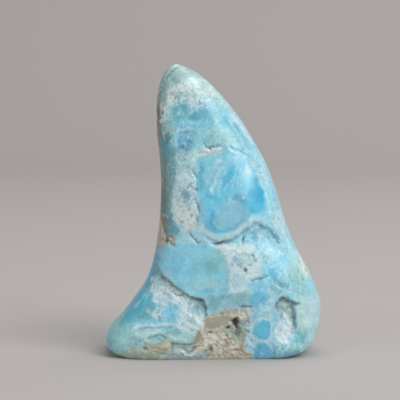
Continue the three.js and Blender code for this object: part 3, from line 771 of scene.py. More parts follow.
def left_crusts() -> list[Paint]:
    """Lists the teal band of the left edge and the white column beside it."""
    m = Mineral
    return [
        Crust(m.TEAL, 0.95, [(-21, 38), (-21, 70), (-12.6, 69), (-12.8, 60), (-14, 52), (-13, 47),
              (-11, 43), (-14, 39)], 1.0, 0.15, 0.0),
        Crust(m.SAGE, 0.45, [(-16, 45), (-16, 66), (-13.4, 66), (-13.6, 56), (-14.2, 50)], 0.8,
              0.35),
        # Painted shade: slate down the left rim, with the two deep teal spots below, on the side
        # turned from the key light
        Crust(m.SLATE, 0.9, [(-21, 47), (-21, 71), (-17.6, 71), (-16.9, 64), (-16.7, 56),
              (-17, 48)], 0.6, 0.1, 0.1),
        Thread(m.OLIVE, 0.5, [(-17.6, 70), (-17.1, 64), (-16.9, 57), (-16.9, 49)], 0.7, 0.3),
        Spot(m.DEEP_TEAL, 0.5, -16.2, 62.8, 0.7, 3.4),
        Spot(m.DEEP_TEAL, 0.45, -16.6, 54.0, 1.4, 6.0, 0.1),
        Spot(m.BROWN, 0.2, -15.6, 56.0, 1.6, 7.0, 0.1),
        Thread(m.UMBER, 0.5, [(-18.2, 58), (-18.0, 54), (-17.6, 50), (-17.4, 47)], 0.9, 0.3),
        Crust(m.CHALK, 0.85, [(-12.4, 68), (-9, 68.8), (-6, 68.6), (-4.8, 66), (-5.5, 62),
              (-5.5, 57), (-5.2, 53), (-5, 49), (-5.2, 45), (-6, 42), (-8, 41), (-10, 41.5),
              (-11, 43), (-12.5, 46), (-13.7, 49), (-13.7, 53), (-13, 57), (-13, 60), (-12, 62),
              (-12.5, 66)], 0.9, 0.6, 0.05),
        Crust(m.SEAFOAM, 0.5, [(-12.5, 62.4), (-12, 68), (-6, 68.2), (-5.4, 63), (-8.6, 61.6)], 0.8,
              0.4),
        Spot(m.SNOW, 0.7, -8.8, 61.0, 1.4, 0.8), Spot(m.LILAC, 0.6, -8.4, 58.6, 2.8, 1.6, 0.8),
        Crust(m.TEAL, 0.75, [(-10.8, 52.8), (-10.6, 55.8), (-9, 56.4), (-8, 55), (-8.2, 53)], 0.5,
              0.1),
        Spot(m.STEEL, 0.6, -8.8, 51.8, 1.4, 1.1, 0.1),
        Crust(m.CREAM, 0.45, [(-13, 50.8), (-6, 50.6), (-5.6, 45), (-7.4, 43), (-10.5, 43),
              (-12.6, 46.6)], 0.9, 0.5),
        Spot(m.CREAM, 0.5, -7.8, 46.4, 1.5, 1.6), Spot(m.SNOW, 0.55, -12.0, 49.4, 0.6, 2.4),
        Spot(m.ROSE, 0.3, -7.4, 43.0, 1.2, 1.0), Spot(m.SNOW, 0.5, -6.6, 65.2, 1.0, 1.6, 0.5),
        Crust(m.TAN, 0.8, [(-20, 47.6), (-17, 47.6), (-15.8, 46.4), (-15.6, 42.4), (-14.8, 41),
              (-12.4, 40.4), (-12.2, 38), (-15, 37.6), (-20, 37.6)], 0.5, 0.3, 0.5),
        Spot(m.BROWN, 0.7, -16.8, 46.0, 0.9, 1.8, 0.2, 0.7),
        Spot(m.ROSE, 0.7, -17.6, 39.8, 1.2, 2.6), Spot(m.SAGE, 0.6, -13.8, 39.2, 1.4, 0.9),
        Spot(m.BROWN, 0.5, -15.8, 43.6, 0.5, 2.0),
        Thread(m.UMBER, 0.85, [(-16.2, 46.0), (-16.1, 43.5), (-16.1, 41.0), (-15.4, 38.8)], 0.55),
        Thread(m.UMBER, 0.6, [(-15.8, 41.0), (-14.5, 40.5), (-13.0, 40.2), (-12.4, 39.7)], 0.45),
        Thread(m.UMBER, 0.6, [(-15.0, 39.5), (-14.0, 38.2), (-12.9, 37.8)], 0.45),
        Thread(m.UMBER, 0.7, [(-17.3, 46.9), (-16.5, 47.0), (-16.2, 46.2)], 0.45),
        Spot(m.UMBER, 0.9, -15.5, 39.0, 0.5, 0.6),
        Thread(m.STEEL, 0.6, [(-7.0, 62.3), (-6.2, 61.2), (-5.5, 60.2)], 0.6),
        Spot(m.DEEP_TEAL, 0.6, -5.8, 56.2, 0.5, 0.4),
        Thread(m.BROWN, 0.6, [(-6.0, 53.0), (-5.6, 51.5), (-5.0, 50.0), (-5.0, 48.4)], 0.4),
        Thread(m.BROWN, 0.55, [(-5.4, 47.2), (-5.3, 46.0), (-5.4, 45.0)], 0.45),
        Thread(m.SLATE, 0.75, [(-8.0, 41.6), (-7.2, 40.3), (-6.0, 39.4), (-4.7, 39.1)], 0.45),
        Thread(m.SNOW, 0.6, [(-8.6, 40.4), (-7.4, 39.2), (-6.0, 38.4), (-4.0, 38.2)], 0.7),
    ]


def lens_crusts() -> list[Paint]:
    """Lists the crusts of the big lens in the middle and the margin to its right."""
    m = Mineral
    return [
        Crust(m.ICE, 0.8, [(12, 69), (18, 64), (24, 50), (28, 36), (20, 34), (16, 38), (13, 46),
              (17.5, 51), (17, 56), (14.5, 60)], 1.0, 0.35, 0.0),
        Crust(m.SEAFOAM, 0.35, [(14, 68), (19, 64), (23, 52), (20, 48), (17.6, 56)], 1.2, 0.3),
        Crust(m.SKY, 0.95, [(-5, 42), (-3, 41), (-1, 40.2), (2, 39.8), (4, 40), (6, 40.8), (8, 42),
              (10, 43.5), (12.4, 45.4), (13.4, 46.6), (17, 49.6), (17.4, 53), (16.6, 57),
              (14.4, 61), (13, 64.4), (11.4, 67), (8, 68.6), (5, 69.2), (-1, 68.8), (-5, 67.4),
              (-5.4, 62), (-5.4, 56), (-5, 50)], 0.6, 0.15, 0.0),
        Crust(m.AZURE, 0.2, [(-4, 43), (4, 41), (12, 47), (16, 52), (13, 61), (9, 66), (-1, 67),
              (-4.4, 60)], 1.6),
        Thread(m.TEAL, 0.5, [(-4.4, 66.4), (-3.8, 63.4), (-4.2, 60.0)], 1.0, 0.3),
        Thread(m.STEEL, 0.6, [(6.8, 64.6), (6.0, 62.4), (6.4, 60.6)], 0.9, 0.3),
        Spot(m.STEEL, 0.6, 3.2, 58.6, 0.9, 1.1, 0.3), Spot(m.ICE, 0.6, 4.6, 61.4, 0.9, 2.4, 0.5),
        Spot(m.SNOW, 0.4, 1.2, 64.6, 1.4, 2.0, 0.7), Spot(m.ICE, 0.5, -1.6, 61.0, 1.0, 2.6, 0.5),
        Spot(m.LAGOON, 0.6, -4.2, 60.0, 1.0, 4.2), Spot(m.AZURE, 0.35, -0.4, 51.0, 3.0, 7.0),
        Spot(m.SKY, 0.7, -3.0, 66.0, 1.4, 2.0), Spot(m.ICE, 0.5, 4.5, 66.0, 2.2, 2.0),
        Crust(m.ICE, 0.4, [(0.4, 56), (0.4, 66), (2.4, 66), (2.6, 56)], 0.8, 0.2),
        Thread(m.ICE, 0.6, [(0.4, 67.4), (0.2, 63.6), (0.9, 60.4), (0.6, 57.2)], 0.7, 0.3),
        Thread(m.ICE, 0.5, [(2.6, 67.6), (2.9, 63.0), (2.0, 58.8)], 0.6, 0.3),
        Thread(m.ICE, 0.45, [(-2.2, 66.0), (-1.6, 62.4), (-2.2, 59.0)], 0.5, 0.3),
        Thread(m.CHALK, 0.45, [(7.6, 67.0), (7.0, 64.6), (7.4, 62.6)], 0.5, 0.3),
        Spot(m.AZURE, 0.8, 6.2, 61.8, 1.6, 2.2, 0.15), Spot(m.AZURE, 0.7, 3.9, 58.2, 1.8, 2.6, 0.1),
        Spot(m.STEEL, 0.3, -0.6, 60.6, 1.6, 1.8), Spot(m.AZURE, 0.4, 9.6, 64.6, 2.0, 1.4, 0.2),
        Crust(m.AZURE, 0.9, [(13, 60), (14.5, 60), (15.2, 57.5), (16.6, 55.4), (17, 53), (17, 50.5),
              (16, 48.5), (12.5, 48.3), (11.3, 50.5), (10.8, 53), (11.5, 56), (12.3, 58.5)], 0.7,
              0.1),
        Spot(m.STRONG_AZURE, 0.85, 15.4, 53.8, 1.4, 2.6, 0.0),
        Spot(m.STRONG_AZURE, 0.6, 13.4, 55.0, 2.0, 2.4, 0.0),
        Thread(m.STEEL, 0.5, [(-3.4, 45.0), (-0.8, 43.1), (2.0, 42.5), (4.8, 43.0)], 1.2),
        Thread(m.SNOW, 0.65, [(2.2, 63.4), (1.2, 60.6), (0.0, 57.6), (-0.4, 56.2)], 0.5),
        Thread(m.SNOW, 0.5, [(3.8, 63.8), (3.2, 60.8), (2.4, 57.6), (1.4, 55.6)], 0.45),
        Thread(m.SNOW, 0.5, [(7.4, 63.6), (6.6, 61.0), (5.4, 58.4), (3.6, 56.4)], 0.4),
        Thread(m.ICE, 0.6, [(-1.6, 62.2), (-2.2, 59.4), (-2.4, 56.6)], 0.6),
        Thread(m.STRONG_AZURE, 0.5, [(5.4, 61.8), (4.8, 59.6), (3.8, 57.8)], 0.8),
        Spot(m.SNOW, 0.8, 6.4, 57.8, 0.4, 0.3), Spot(m.SNOW, 0.8, 7.8, 58.6, 0.35, 0.3),
        Spot(m.SNOW, 0.7, 9.0, 57.4, 0.3, 0.3), Spot(m.DENIM, 0.6, 8.4, 53.4, 2.2, 1.4, 0.35),
        Spot(m.SNOW, 0.5, 5.1, 53.0, 0.5, 0.5), Spot(m.SNOW, 0.55, 9.4, 53.6, 0.5, 0.6),
        Spot(m.SNOW, 0.6, -0.5, 56.2, 0.6, 1.4, 0.2), Spot(m.DENIM, 0.4, -1.4, 54.2, 0.8, 1.0),
        Spot(m.SKY, 0.5, 4.0, 51.6, 2.0, 1.2),
        Thread(m.MIST, 0.75, [(-5.0, 43.6), (-4.6, 46.4), (-4.2, 49.6), (-4.4, 52)], 1.2, 0.3),
        Crust(m.STEEL, 0.7, [(7, 44.2), (8.6, 46.4), (11, 48.2), (12.6, 47.6), (12.4, 46),
              (10, 43.6)], 0.6, 0.05),
        Crust(m.STRONG_AZURE, 0.6, [(-1.6, 46), (-0.6, 42.6), (3, 41.8), (8, 43), (11.8, 46.6),
              (11.4, 51), (9, 52.4), (9.4, 47), (5, 44), (1.4, 44.4), (0.6, 48), (-0.8, 49)], 0.8,
              0.0),
        Crust(m.MIST, 0.55, [(4.6, 51.4), (7, 52.1), (9.4, 51.3), (10.7, 49.2), (10.4, 46.6),
              (7.9, 44.6), (4.4, 43.7), (1.4, 43.9), (0.4, 45.8), (1.2, 48.2), (2.9, 49.8)], 0.5,
              0.0),
        Crust(m.SKY, 0.3, [(5, 50.2), (7.4, 50.6), (9, 49.4), (8.8, 47.2), (6.6, 45.6), (3.8, 45),
              (2.2, 46), (3, 48.4)], 0.8, 0.0),
        Thread(m.ICE, 0.75, [(7.0, 52.4), (4.6, 51.6), (2.6, 49.9), (0.8, 48.3), (0.0, 45.8),
               (1.2, 43.7), (4.4, 43.3)], 0.6),
        Thread(m.ICE, 0.45, [(7.0, 52.4), (9.6, 51.6), (11.0, 49.4), (10.8, 46.6), (8.2, 44.2)],
               0.5),
        Crust(m.AZURE, 0.65, [(0.2, 42.2), (2, 41.8), (6, 42.4), (8, 43.8), (6, 43.6), (2, 43.2)],
              0.4, 0.0),
        Crust(m.SNOW, 0.5, [(10.6, 60.4), (10.2, 63.4), (11.4, 64.4), (12.3, 63), (12.1, 60.4)],
              0.6, 0.5),
        Crust(m.LILAC, 0.7, [(11.4, 63.8), (11.8, 66.8), (13, 66.4), (13.5, 64.4), (12.6, 63.4)],
              0.5, 0.4),
        Crust(m.SEAFOAM, 0.7, [(-6.4, 66.8), (-6, 69.6), (0, 69.8), (3.2, 69.2), (2.4, 67.2),
              (-2, 66.6)], 0.7, 0.4),
        Spot(m.LAGOON, 0.4, 3.8, 68.8, 1.4, 1.4), Spot(m.CREAM, 0.5, -2.4, 68.4, 2.6, 0.9, 0.4),
        Thread(m.SNOW, 0.85, [(-2.4, 68.9), (-1.2, 69.0), (0.2, 69.5), (1.6, 69.3)], 0.7, 0.0),
        Thread(m.SNOW, 0.8, [(-6.6, 67.0), (-4.2, 67.9), (-1.6, 68.4), (1.2, 68.6), (3.6, 68.5)],
               0.7, 0.3),
        Spot(m.SNOW, 0.9, -2.4, 69.4, 1.2, 0.5, 0.2), Spot(m.SNOW, 0.9, 0.2, 69.4, 1.0, 0.45, 0.2),
        Spot(m.SNOW, 0.8, 2.2, 69.7, 0.8, 0.4, 0.2),
        Thread(m.SLATE, 0.65, [(-2.0, 70.0), (-0.4, 70.5), (0.8, 70.1), (2.2, 70.4)], 0.45),
        Thread(m.SNOW, 0.55, [(5.6, 68.9), (7.4, 68.1), (9.4, 67.6), (10.8, 66.8)], 0.5),
        Thread(m.STEEL, 0.7, [(6.0, 69.7), (7.5, 68.9), (9.0, 68.3), (10.5, 67.9), (11.5, 66.9),
               (12.3, 65.6), (13.0, 64.2)], 0.4),
        Thread(m.SNOW, 0.4, [(15.4, 63), (16, 60), (16.4, 57.4)], 0.9, 0.8),
        Spot(m.LILAC, 0.5, 17.0, 61.0, 1.2, 1.2, 0.5), Spot(m.ICE, 0.5, 16.6, 66.6, 1.4, 2.4),
        Crust(m.CHALK, 0.55, [(18, 48), (23.5, 48), (25.5, 40), (22.4, 39), (21, 42.4), (18.6, 45)],
              0.9, 0.5),
        Spot(m.SNOW, 0.4, 21.6, 44.6, 1.4, 1.4, 0.3), Spot(m.SKY, 0.5, 19.0, 54.0, 1.4, 3.0, 0.2),
        Thread(m.SNOW, 0.45, [(12.6, 65.0), (15.0, 60.4), (17.2, 55.0), (18.4, 49.0)], 0.5),
        # Painted highlight: pale ice and white threads along the lens's lower rim, where its
        # rounded edge catches the light
        Thread(m.ICE, 0.8, [(-4.6, 45.2), (-3.4, 43.0), (-1.2, 41.7), (2.0, 41.2), (4.2, 41.5),
               (6.4, 42.4), (8.6, 43.8), (10.8, 45.4), (12.6, 47.0)], 1.3),
        Thread(m.SNOW, 0.85, [(-4.3, 44.2), (-3.1, 42.3), (-1.2, 41.1), (2.0, 40.5), (4.0, 40.8),
               (6.0, 41.6), (8.0, 42.6), (10.0, 44.1), (12.0, 45.7), (12.9, 46.9)], 1.5),
        Crust(m.SKY, 0.7, [(13.2, 46.8), (16, 46.8), (18.4, 45.4), (18.6, 48.6), (16.6, 49.8)], 0.6,
              0.3),
        Crust(m.SKY, 0.8, [(12.4, 45), (16, 45), (19.6, 42.4), (21.6, 39.6), (20, 37.6), (16, 38.4),
              (12.6, 39.4), (10.6, 41.6)], 0.8, 0.5, 0.25),
        Spot(m.STEEL, 0.85, 15.6, 42.0, 3.6, 2.2, 0.3),
        Spot(m.LAGOON, 0.6, 19.0, 41.0, 1.8, 2.2, 0.4),
        # Painted shade: a teal band under the arc's rim and deep teal at its hook
        Thread(m.TEAL, 0.55, [(10.4, 42.8), (12.4, 44.8), (14.0, 44.9), (16.0, 44.6), (17.6, 43.7),
               (19.2, 42.5), (20.4, 41.0), (21.4, 39.0), (22.2, 37)], 1.7),
        Thread(m.DEEP_TEAL, 0.4, [(20.6, 41.2), (21.6, 39.2), (22.3, 37.2), (22.4, 36)], 0.6),
        # Painted shadow: a slate line just below the lens's lower rim
        Thread(m.SLATE, 0.75, [(-0.6, 38.4), (1.4, 38.6), (3.2, 39.2), (5.0, 39.9)], 0.6),
        Thread(m.DEEP_TEAL, 0.8, [(9.5, 38.8), (9.8, 39.8), (10.1, 40.6)], 0.5),
        Spot(m.SNOW, 0.3, 15.4, 40.8, 1.0, 0.8, 0.2),
    ]


def oval_crusts() -> list[Paint]:
    """Lists the smooth oval at the left and the porous ground to its right."""
    m = Mineral
    return [
        Crust(m.ICE, 0.75, [(6, 38), (24, 38), (31, 30), (36, 20), (36, 4), (28, 0), (12, 0),
              (12, 16), (13, 24), (6, 28)], 1.4, 0.35, 0.0),
        Crust(m.SKY, 0.9, [(-19.2, 34.5), (-17, 36.4), (-15, 37.4), (-12, 37.8), (-8, 38.2),
              (-4, 38.5), (-1, 37.9), (1, 36), (3, 33.5), (4.6, 31), (5.2, 28), (5, 25), (4, 22.6),
              (1, 21.8), (-2, 21.2), (-5, 21.2), (-8, 21.8), (-10, 22.8), (-12, 24.3), (-14, 25.8),
              (-16, 27.8), (-18, 30), (-19, 32)], 0.5, 0.05, 0.0),
        Crust(m.ICE, 0.35, [(-18, 34), (-10, 36), (-6, 30), (-12, 25.5), (-17, 29)], 2.0),
        Spot(m.AZURE, 0.3, -13.0, 31.0, 3.4, 3.0), Spot(m.TEAL, 0.3, -1.0, 31.4, 1.8, 1.4),
        Spot(m.SEAFOAM, 0.5, 0.8, 32.6, 4.0, 3.4), Spot(m.SEAFOAM, 0.4, -16.8, 35.0, 1.4, 1.6, 0.4),
        Spot(m.ICE, 0.4, -6.6, 35.6, 4.0, 1.6),
        Crust(m.MINT, 0.5, [(-8.4, 25), (-5, 27), (1.6, 26.6), (2.6, 24), (-2, 23.2), (-7, 23.4)],
              1.6, 0.15),
        Crust(m.LAGOON, 0.3, [(-2.6, 33), (1, 33), (1.2, 28.6), (-2.4, 28.8)], 0.8, 0.1),
        Spot(m.DENIM, 0.35, -1.4, 23.2, 1.6, 1.0), Spot(m.LILAC, 0.4, -15.0, 28.2, 1.2, 2.0),
        Spot(m.LAGOON, 0.25, -7.4, 29.6, 2.8, 2.4),
        Thread(m.SEAFOAM, 0.4, [(-17.4, 29.8), (-15.4, 27.8), (-12.6, 25.4), (-9.6, 23.4)], 0.8),
        Crust(m.SNOW, 1.0, [(-2, 38.8), (0, 38.2), (4, 38.4), (8, 37.5), (8, 35), (6.5, 33.3),
              (5.3, 31), (4, 33.2), (2, 36)], 0.6, 0.35),
        Thread(m.SEAFOAM, 0.7, [(1.4, 36.2), (3.2, 33.2), (4.2, 29.8), (4.2, 26), (3.4, 23.4)],
               1.3),
        Thread(m.CHALK, 0.8, [(4.6, 32.0), (5.4, 29.6), (5.7, 26.6), (5.4, 23.6)], 0.9),
        Crust(m.SNOW, 0.9, [(6, 38), (9, 38.5), (12, 38), (14, 37), (15, 35), (15.5, 32), (15, 29),
              (14, 27.5), (12, 27), (10, 27.3), (8, 28), (6.3, 29), (6, 31), (7, 33), (7.5, 35)],
              0.6, 0.55, 0.25),
        Spot(m.MIST, 0.8, 8.4, 32.6, 1.6, 2.2, 0.3),
        Spot(m.SEAFOAM, 0.5, 11.8, 33.0, 1.6, 2.6, 0.6), Spot(m.SNOW, 0.8, 8.0, 36.0, 0.7, 0.6),
        Spot(m.SNOW, 0.8, 11.5, 36.5, 0.8, 0.7), Spot(m.SNOW, 0.8, 7.2, 30.2, 1.4, 0.9, 0.6),
        Spot(m.SNOW, 0.7, 10.5, 31.3, 0.8, 0.6), Spot(m.SNOW, 0.6, 11.6, 28.2, 1.8, 0.8, 0.6),
        Spot(m.LILAC, 0.5, 13.4, 35.4, 1.0, 1.0, 0.5), Spot(m.SLATE, 0.8, 10.3, 29.7, 0.8, 0.7),
        Spot(m.SLATE, 0.7, 13.1, 34.8, 0.45, 0.4), Spot(m.ROSE, 0.4, 13.4, 36.2, 0.8, 0.5),
        Crust(m.SNOW, 0.7, [(5.6, 28.6), (8, 27.6), (11, 26.8), (13, 26.4), (12.6, 22.6), (9, 22.2),
              (5.6, 22)], 0.6, 0.2, 0.0),
        Spot(m.LILAC, 0.3, 8.0, 25.4, 2.4, 2.0), Spot(m.ICE, 0.4, 11.6, 24.0, 1.0, 1.6),
        Crust(m.SAGE, 0.4, [(-1.8, 16.5), (3, 16.8), (8, 17.5), (12, 18.2), (13.2, 20),
              (12.5, 22.2), (9, 22.5), (5, 21.8), (2, 21.5), (-1.5, 21.5), (-2.4, 19)], 0.6, 0.1,
              0.0),
        Crust(m.LAGOON, 0.45, [(-1.8, 16.8), (0.5, 17), (3, 18), (3, 21), (-1.4, 21)], 0.9, 0.1),
        Crust(m.STEEL, 0.5, [(-1.8, 17), (6, 18.6), (12.4, 18.6), (13, 20.4), (9, 22), (2, 21)],
              0.7),
        Spot(m.SEAFOAM, 0.5, 8.0, 20.2, 4.0, 1.2), Spot(m.MIST, 0.6, 4.0, 18.0, 3.4, 0.8),
        Thread(m.SLATE, 0.35, [(2.7, 20.4), (3.3, 21.4), (3.8, 22.3)], 0.4),
        Thread(m.SLATE, 0.75, [(8.6, 18.0), (10.4, 18.0), (12.2, 17.8)], 0.5),
        Spot(m.UMBER, 0.6, 12.1, 17.7, 0.5, 0.35),
        Thread(m.SLATE, 0.75, [(13.0, 26.9), (14.5, 27.4), (16.0, 27.6), (17.6, 27.9)], 0.5),
        Thread(m.SNOW, 0.75, [(13.4, 26.1), (15.0, 26.6), (17.2, 27.1)], 0.7),
    ]


def foot_crusts() -> list[Paint]:
    """Lists the crusts of the flared foot at the lower left."""
    m = Mineral
    return [
        Crust(m.SEAFOAM, 0.95, [(-40, -2), (-40, 14), (-30, 22), (-21, 34), (-18.2, 30.4),
              (-15.6, 26.8), (-12.4, 24.2), (-8.4, 21.6), (-4.6, 20.2), (-3, 18.6), (-2.2, 14),
              (-6, 5), (-12, -2)], 0.4, 0.25, 0.0),
        Crust(m.ICE, 0.6, [(-28, 11), (-20, 22), (-14, 24), (-4, 18), (-4, 10), (-16, 9)], 1.5,
              0.4),
        Crust(m.DENIM, 0.7, [(-22.5, 34), (-18.4, 35), (-18.8, 28), (-21.6, 27)], 0.7, 0.1),
        Crust(m.STRONG_AZURE, 0.8, [(-24.4, 24), (-21.6, 28.4), (-19.8, 27.6), (-20.4, 23.6)], 0.7,
              0.1),
        Crust(m.LAGOON, 0.6, [(-24, 24), (-20.6, 24), (-20.6, 20), (-21, 18.6), (-20.2, 17),
              (-20.6, 14.3), (-23, 13.2), (-26, 13.2), (-29.5, 14), (-29.5, 18), (-26, 22)], 0.8,
              0.15),
        Crust(m.AZURE, 0.75, [(-28, 15.4), (-27, 17.4), (-24.6, 21.4), (-22, 20.4), (-22.2, 17.6),
              (-24.6, 15.8)], 0.9, 0.1),
        Spot(m.TEAL, 0.45, -25.4, 17.6, 2.4, 3.6, 0.1),
        Spot(m.LAGOON, 0.8, -20.4, 18.6, 1.8, 2.6, 0.2), Spot(m.LAGOON, 0.7, -25.4, 14.4, 3.6, 2.0),
        Crust(m.AZURE, 0.5, [(-31, 12), (-27.4, 17.6), (-23.6, 23), (-22, 22), (-24.6, 16.8),
              (-28, 11.4)], 0.8, 0.1),
        Thread(m.SNOW, 0.6, [(-21.6, 16.2), (-19.6, 14.2), (-17.2, 14.0), (-15.4, 15.2)], 0.8, 0.7),
        Thread(m.SNOW, 0.5, [(-22.4, 20.6), (-20.8, 22.4), (-19.0, 23.2)], 0.6, 0.7),
        Thread(m.SNOW, 0.45, [(-26.4, 16.8), (-24.4, 18.6), (-22.8, 21.4)], 0.5, 0.3),
        Crust(m.SNOW, 0.95, [(-20.5, 26), (-17, 26), (-15, 24.5), (-12, 22.7), (-9.5, 21.7),
              (-8, 20.5), (-8.6, 18.5), (-11.5, 17.8), (-15, 18), (-18.5, 18.3), (-20, 20),
              (-21, 23)], 0.9, 0.65, 0.1),
        Thread(m.STEEL, 0.55, [(-20.0, 22.6), (-17.4, 22.4), (-15.0, 20.6), (-12.6, 19.6)], 0.8,
               0.5),
        Thread(m.STEEL, 0.5, [(-19.0, 25.0), (-16.4, 23.8), (-13.4, 21.8)], 0.6, 0.5),
        Thread(m.AZURE, 0.4, [(-20.2, 19.8), (-17.4, 20.6), (-14.6, 19.0)], 0.8, 0.4),
        Spot(m.SNOW, 0.8, -14.2, 21.2, 4.0, 1.7, 0.3), Spot(m.LAGOON, 0.3, -18.0, 12.5, 1.8, 1.0),
        Spot(m.MINT, 0.35, -31.0, 8.0, 3.0, 4.0, 0.1),
        Spot(m.SNOW, 0.6, -12.6, 20.0, 2.6, 1.2, 0.5),
        Spot(m.SNOW, 0.5, -17.4, 22.6, 1.8, 1.4, 0.7),
        Spot(m.STEEL, 0.6, -18.0, 25.4, 1.8, 0.7, 0.4),
        Spot(m.LILAC, 0.5, -15.6, 20.4, 2.0, 1.2, 0.5),
        Spot(m.LILAC, 0.6, -18.0, 15.4, 2.0, 1.8, 0.9),
        Crust(m.SKY, 0.85, [(-16, 18), (-13.4, 18.6), (-11.4, 17.2), (-10.8, 14.8), (-12.4, 12.8),
              (-15.6, 12.8), (-17, 14.8)], 0.9, 0.25),
        Spot(m.AZURE, 0.5, -14.2, 15.6, 1.4, 1.6, 0.3), Spot(m.DENIM, 0.35, -12.6, 17.2, 0.8, 0.6),
        Crust(m.SKY, 0.6, [(-26, 11.4), (-25, 13.6), (-18, 13.4), (-11, 13.4), (-11, 11.6),
              (-18, 11.4)], 0.7, 0.3),
        Crust(m.SNOW, 0.9, [(-11, 18), (-8.6, 18.4), (-5, 15.4), (-2.8, 14.4), (-3, 9.5), (-8, 8.2),
              (-11, 9), (-11.6, 13)], 1.0, 0.6, 0.05),
        Thread(m.STEEL, 0.5, [(-10.8, 16.2), (-8.6, 14.6), (-7.0, 12.4), (-5.2, 11.4)], 0.7, 0.5),
        Thread(m.LAGOON, 0.4, [(-10.4, 12.4), (-8.0, 10.6), (-5.4, 9.8)], 0.8, 0.5),
        Crust(m.MIST, 0.85, [(-8.4, 20.4), (-6, 20.6), (-3.4, 19.2), (-2.6, 16.4), (-3.8, 15.2),
              (-6.6, 15.2), (-8.4, 17.6)], 0.5, 0.35, 0.45),
        Spot(m.SNOW, 0.75, -4.6, 12.5, 1.5, 1.1, 0.2),
        Spot(m.STEEL, 0.35, -8.0, 13.0, 1.3, 1.0, 0.3),
        Spot(m.SNOW, 0.5, -9.6, 16.4, 1.4, 0.8, 0.4), Spot(m.SLATE, 0.35, -5.6, 17.4, 0.8, 0.5),
        Crust(m.LAGOON, 0.35, [(-36.5, 2), (-37, 8), (-32, 14), (-27, 14), (-27, 6), (-30, 2)],
              2.0),
        Spot(m.STEEL, 0.45, -34.2, 3.4, 1.6, 2.0), Spot(m.SEAFOAM, 0.6, -29.0, 7.6, 2.0, 3.0, 0.2),
        Spot(m.MINT, 0.35, -26.6, 7.0, 1.0, 1.6), Spot(m.TEAL, 0.35, -30.6, 11.6, 1.0, 1.4),
        Crust(m.SEAFOAM, 0.75, [(-12.4, 9.6), (-7.2, 9.4), (-7, 6.4), (-10, 5.8), (-14, 6.2),
              (-17, 7.4), (-15, 9.4)], 0.7, 0.35),
        Thread(m.SNOW, 0.95, [(-26.6, 10.4), (-23, 11.1), (-20, 11.1), (-17, 11.9), (-14, 11.9),
               (-12, 11.3)], 0.7),
        Thread(m.STEEL, 0.75, [(-25, 9.7), (-22.6, 10.1), (-20, 10.1), (-17, 10.8), (-14, 10.9)],
               0.8),
        Thread(m.STEEL, 0.7, [(-27, 7.2), (-24, 6.0), (-21, 6.6), (-18, 7.4)], 1.4, 0.4),
        Thread(m.SNOW, 0.85, [(-22.4, 7.9), (-20.2, 9.0), (-17.8, 9.2), (-15.4, 8.0), (-12.4, 7.2),
               (-9, 6.6)], 0.6),
        Thread(m.SLATE, 0.55, [(-21.6, 7.2), (-19.4, 8.1), (-17.2, 8.2), (-15.6, 7.2)], 0.5),
        Thread(m.STEEL, 0.5, [(-16.4, 10.0), (-13.6, 9.6), (-11.4, 9.8)], 0.9, 0.4),
        Thread(m.SNOW, 0.6, [(-26.0, 8.4), (-23.0, 9.0), (-20.4, 10.0), (-17.6, 10.2)], 0.6, 0.5),
        Thread(m.SNOW, 0.6, [(-24.4, 5.6), (-21.4, 6.4), (-18.6, 6.6)], 0.6, 0.5),
        Spot(m.SNOW, 0.8, -22.3, 7.0, 0.5, 0.4), Spot(m.CREAM, 0.35, -24.6, 8.0, 1.2, 0.7),
        # Painted shade: a sage band on the side wall of the matrix step
        Thread(m.SAGE, 0.75, [(-7.3, 5.8), (-6.5, 7.0), (-5.5, 9.0), (-4.5, 10.2)], 1.1),
        Thread(m.SLATE, 0.6, [(-14, 6.0), (-12, 5.6), (-10, 5.4), (-8, 5.3), (-7.2, 5.7)], 0.5),
        # Painted shadow: slate along the foot ledge's rim, with umber and deep teal where it is
        # deepest
        Thread(m.SLATE, 0.7, [(-17.8, 29.2), (-16.5, 27.3), (-15, 25.8), (-13.6, 24.4),
               (-12.0, 23.6), (-10.2, 22.3), (-8.5, 21.3), (-6.6, 20.8), (-5, 20.3), (-3.7, 19.7),
               (-2.9, 18.6), (-2.4, 17.0), (-2.1, 15)], 0.7),
        Spot(m.UMBER, 0.75, -4.4, 20.1, 1.2, 0.4), Spot(m.DEEP_TEAL, 0.6, -16.4, 26.6, 1.4, 0.9),
        Thread(m.SLATE, 0.6, [(-14.0, 22.1), (-12.8, 21.7), (-12.0, 21.3), (-10.5, 21.4),
               (-9.7, 21.0), (-9.3, 20.0)], 0.4),
    ]


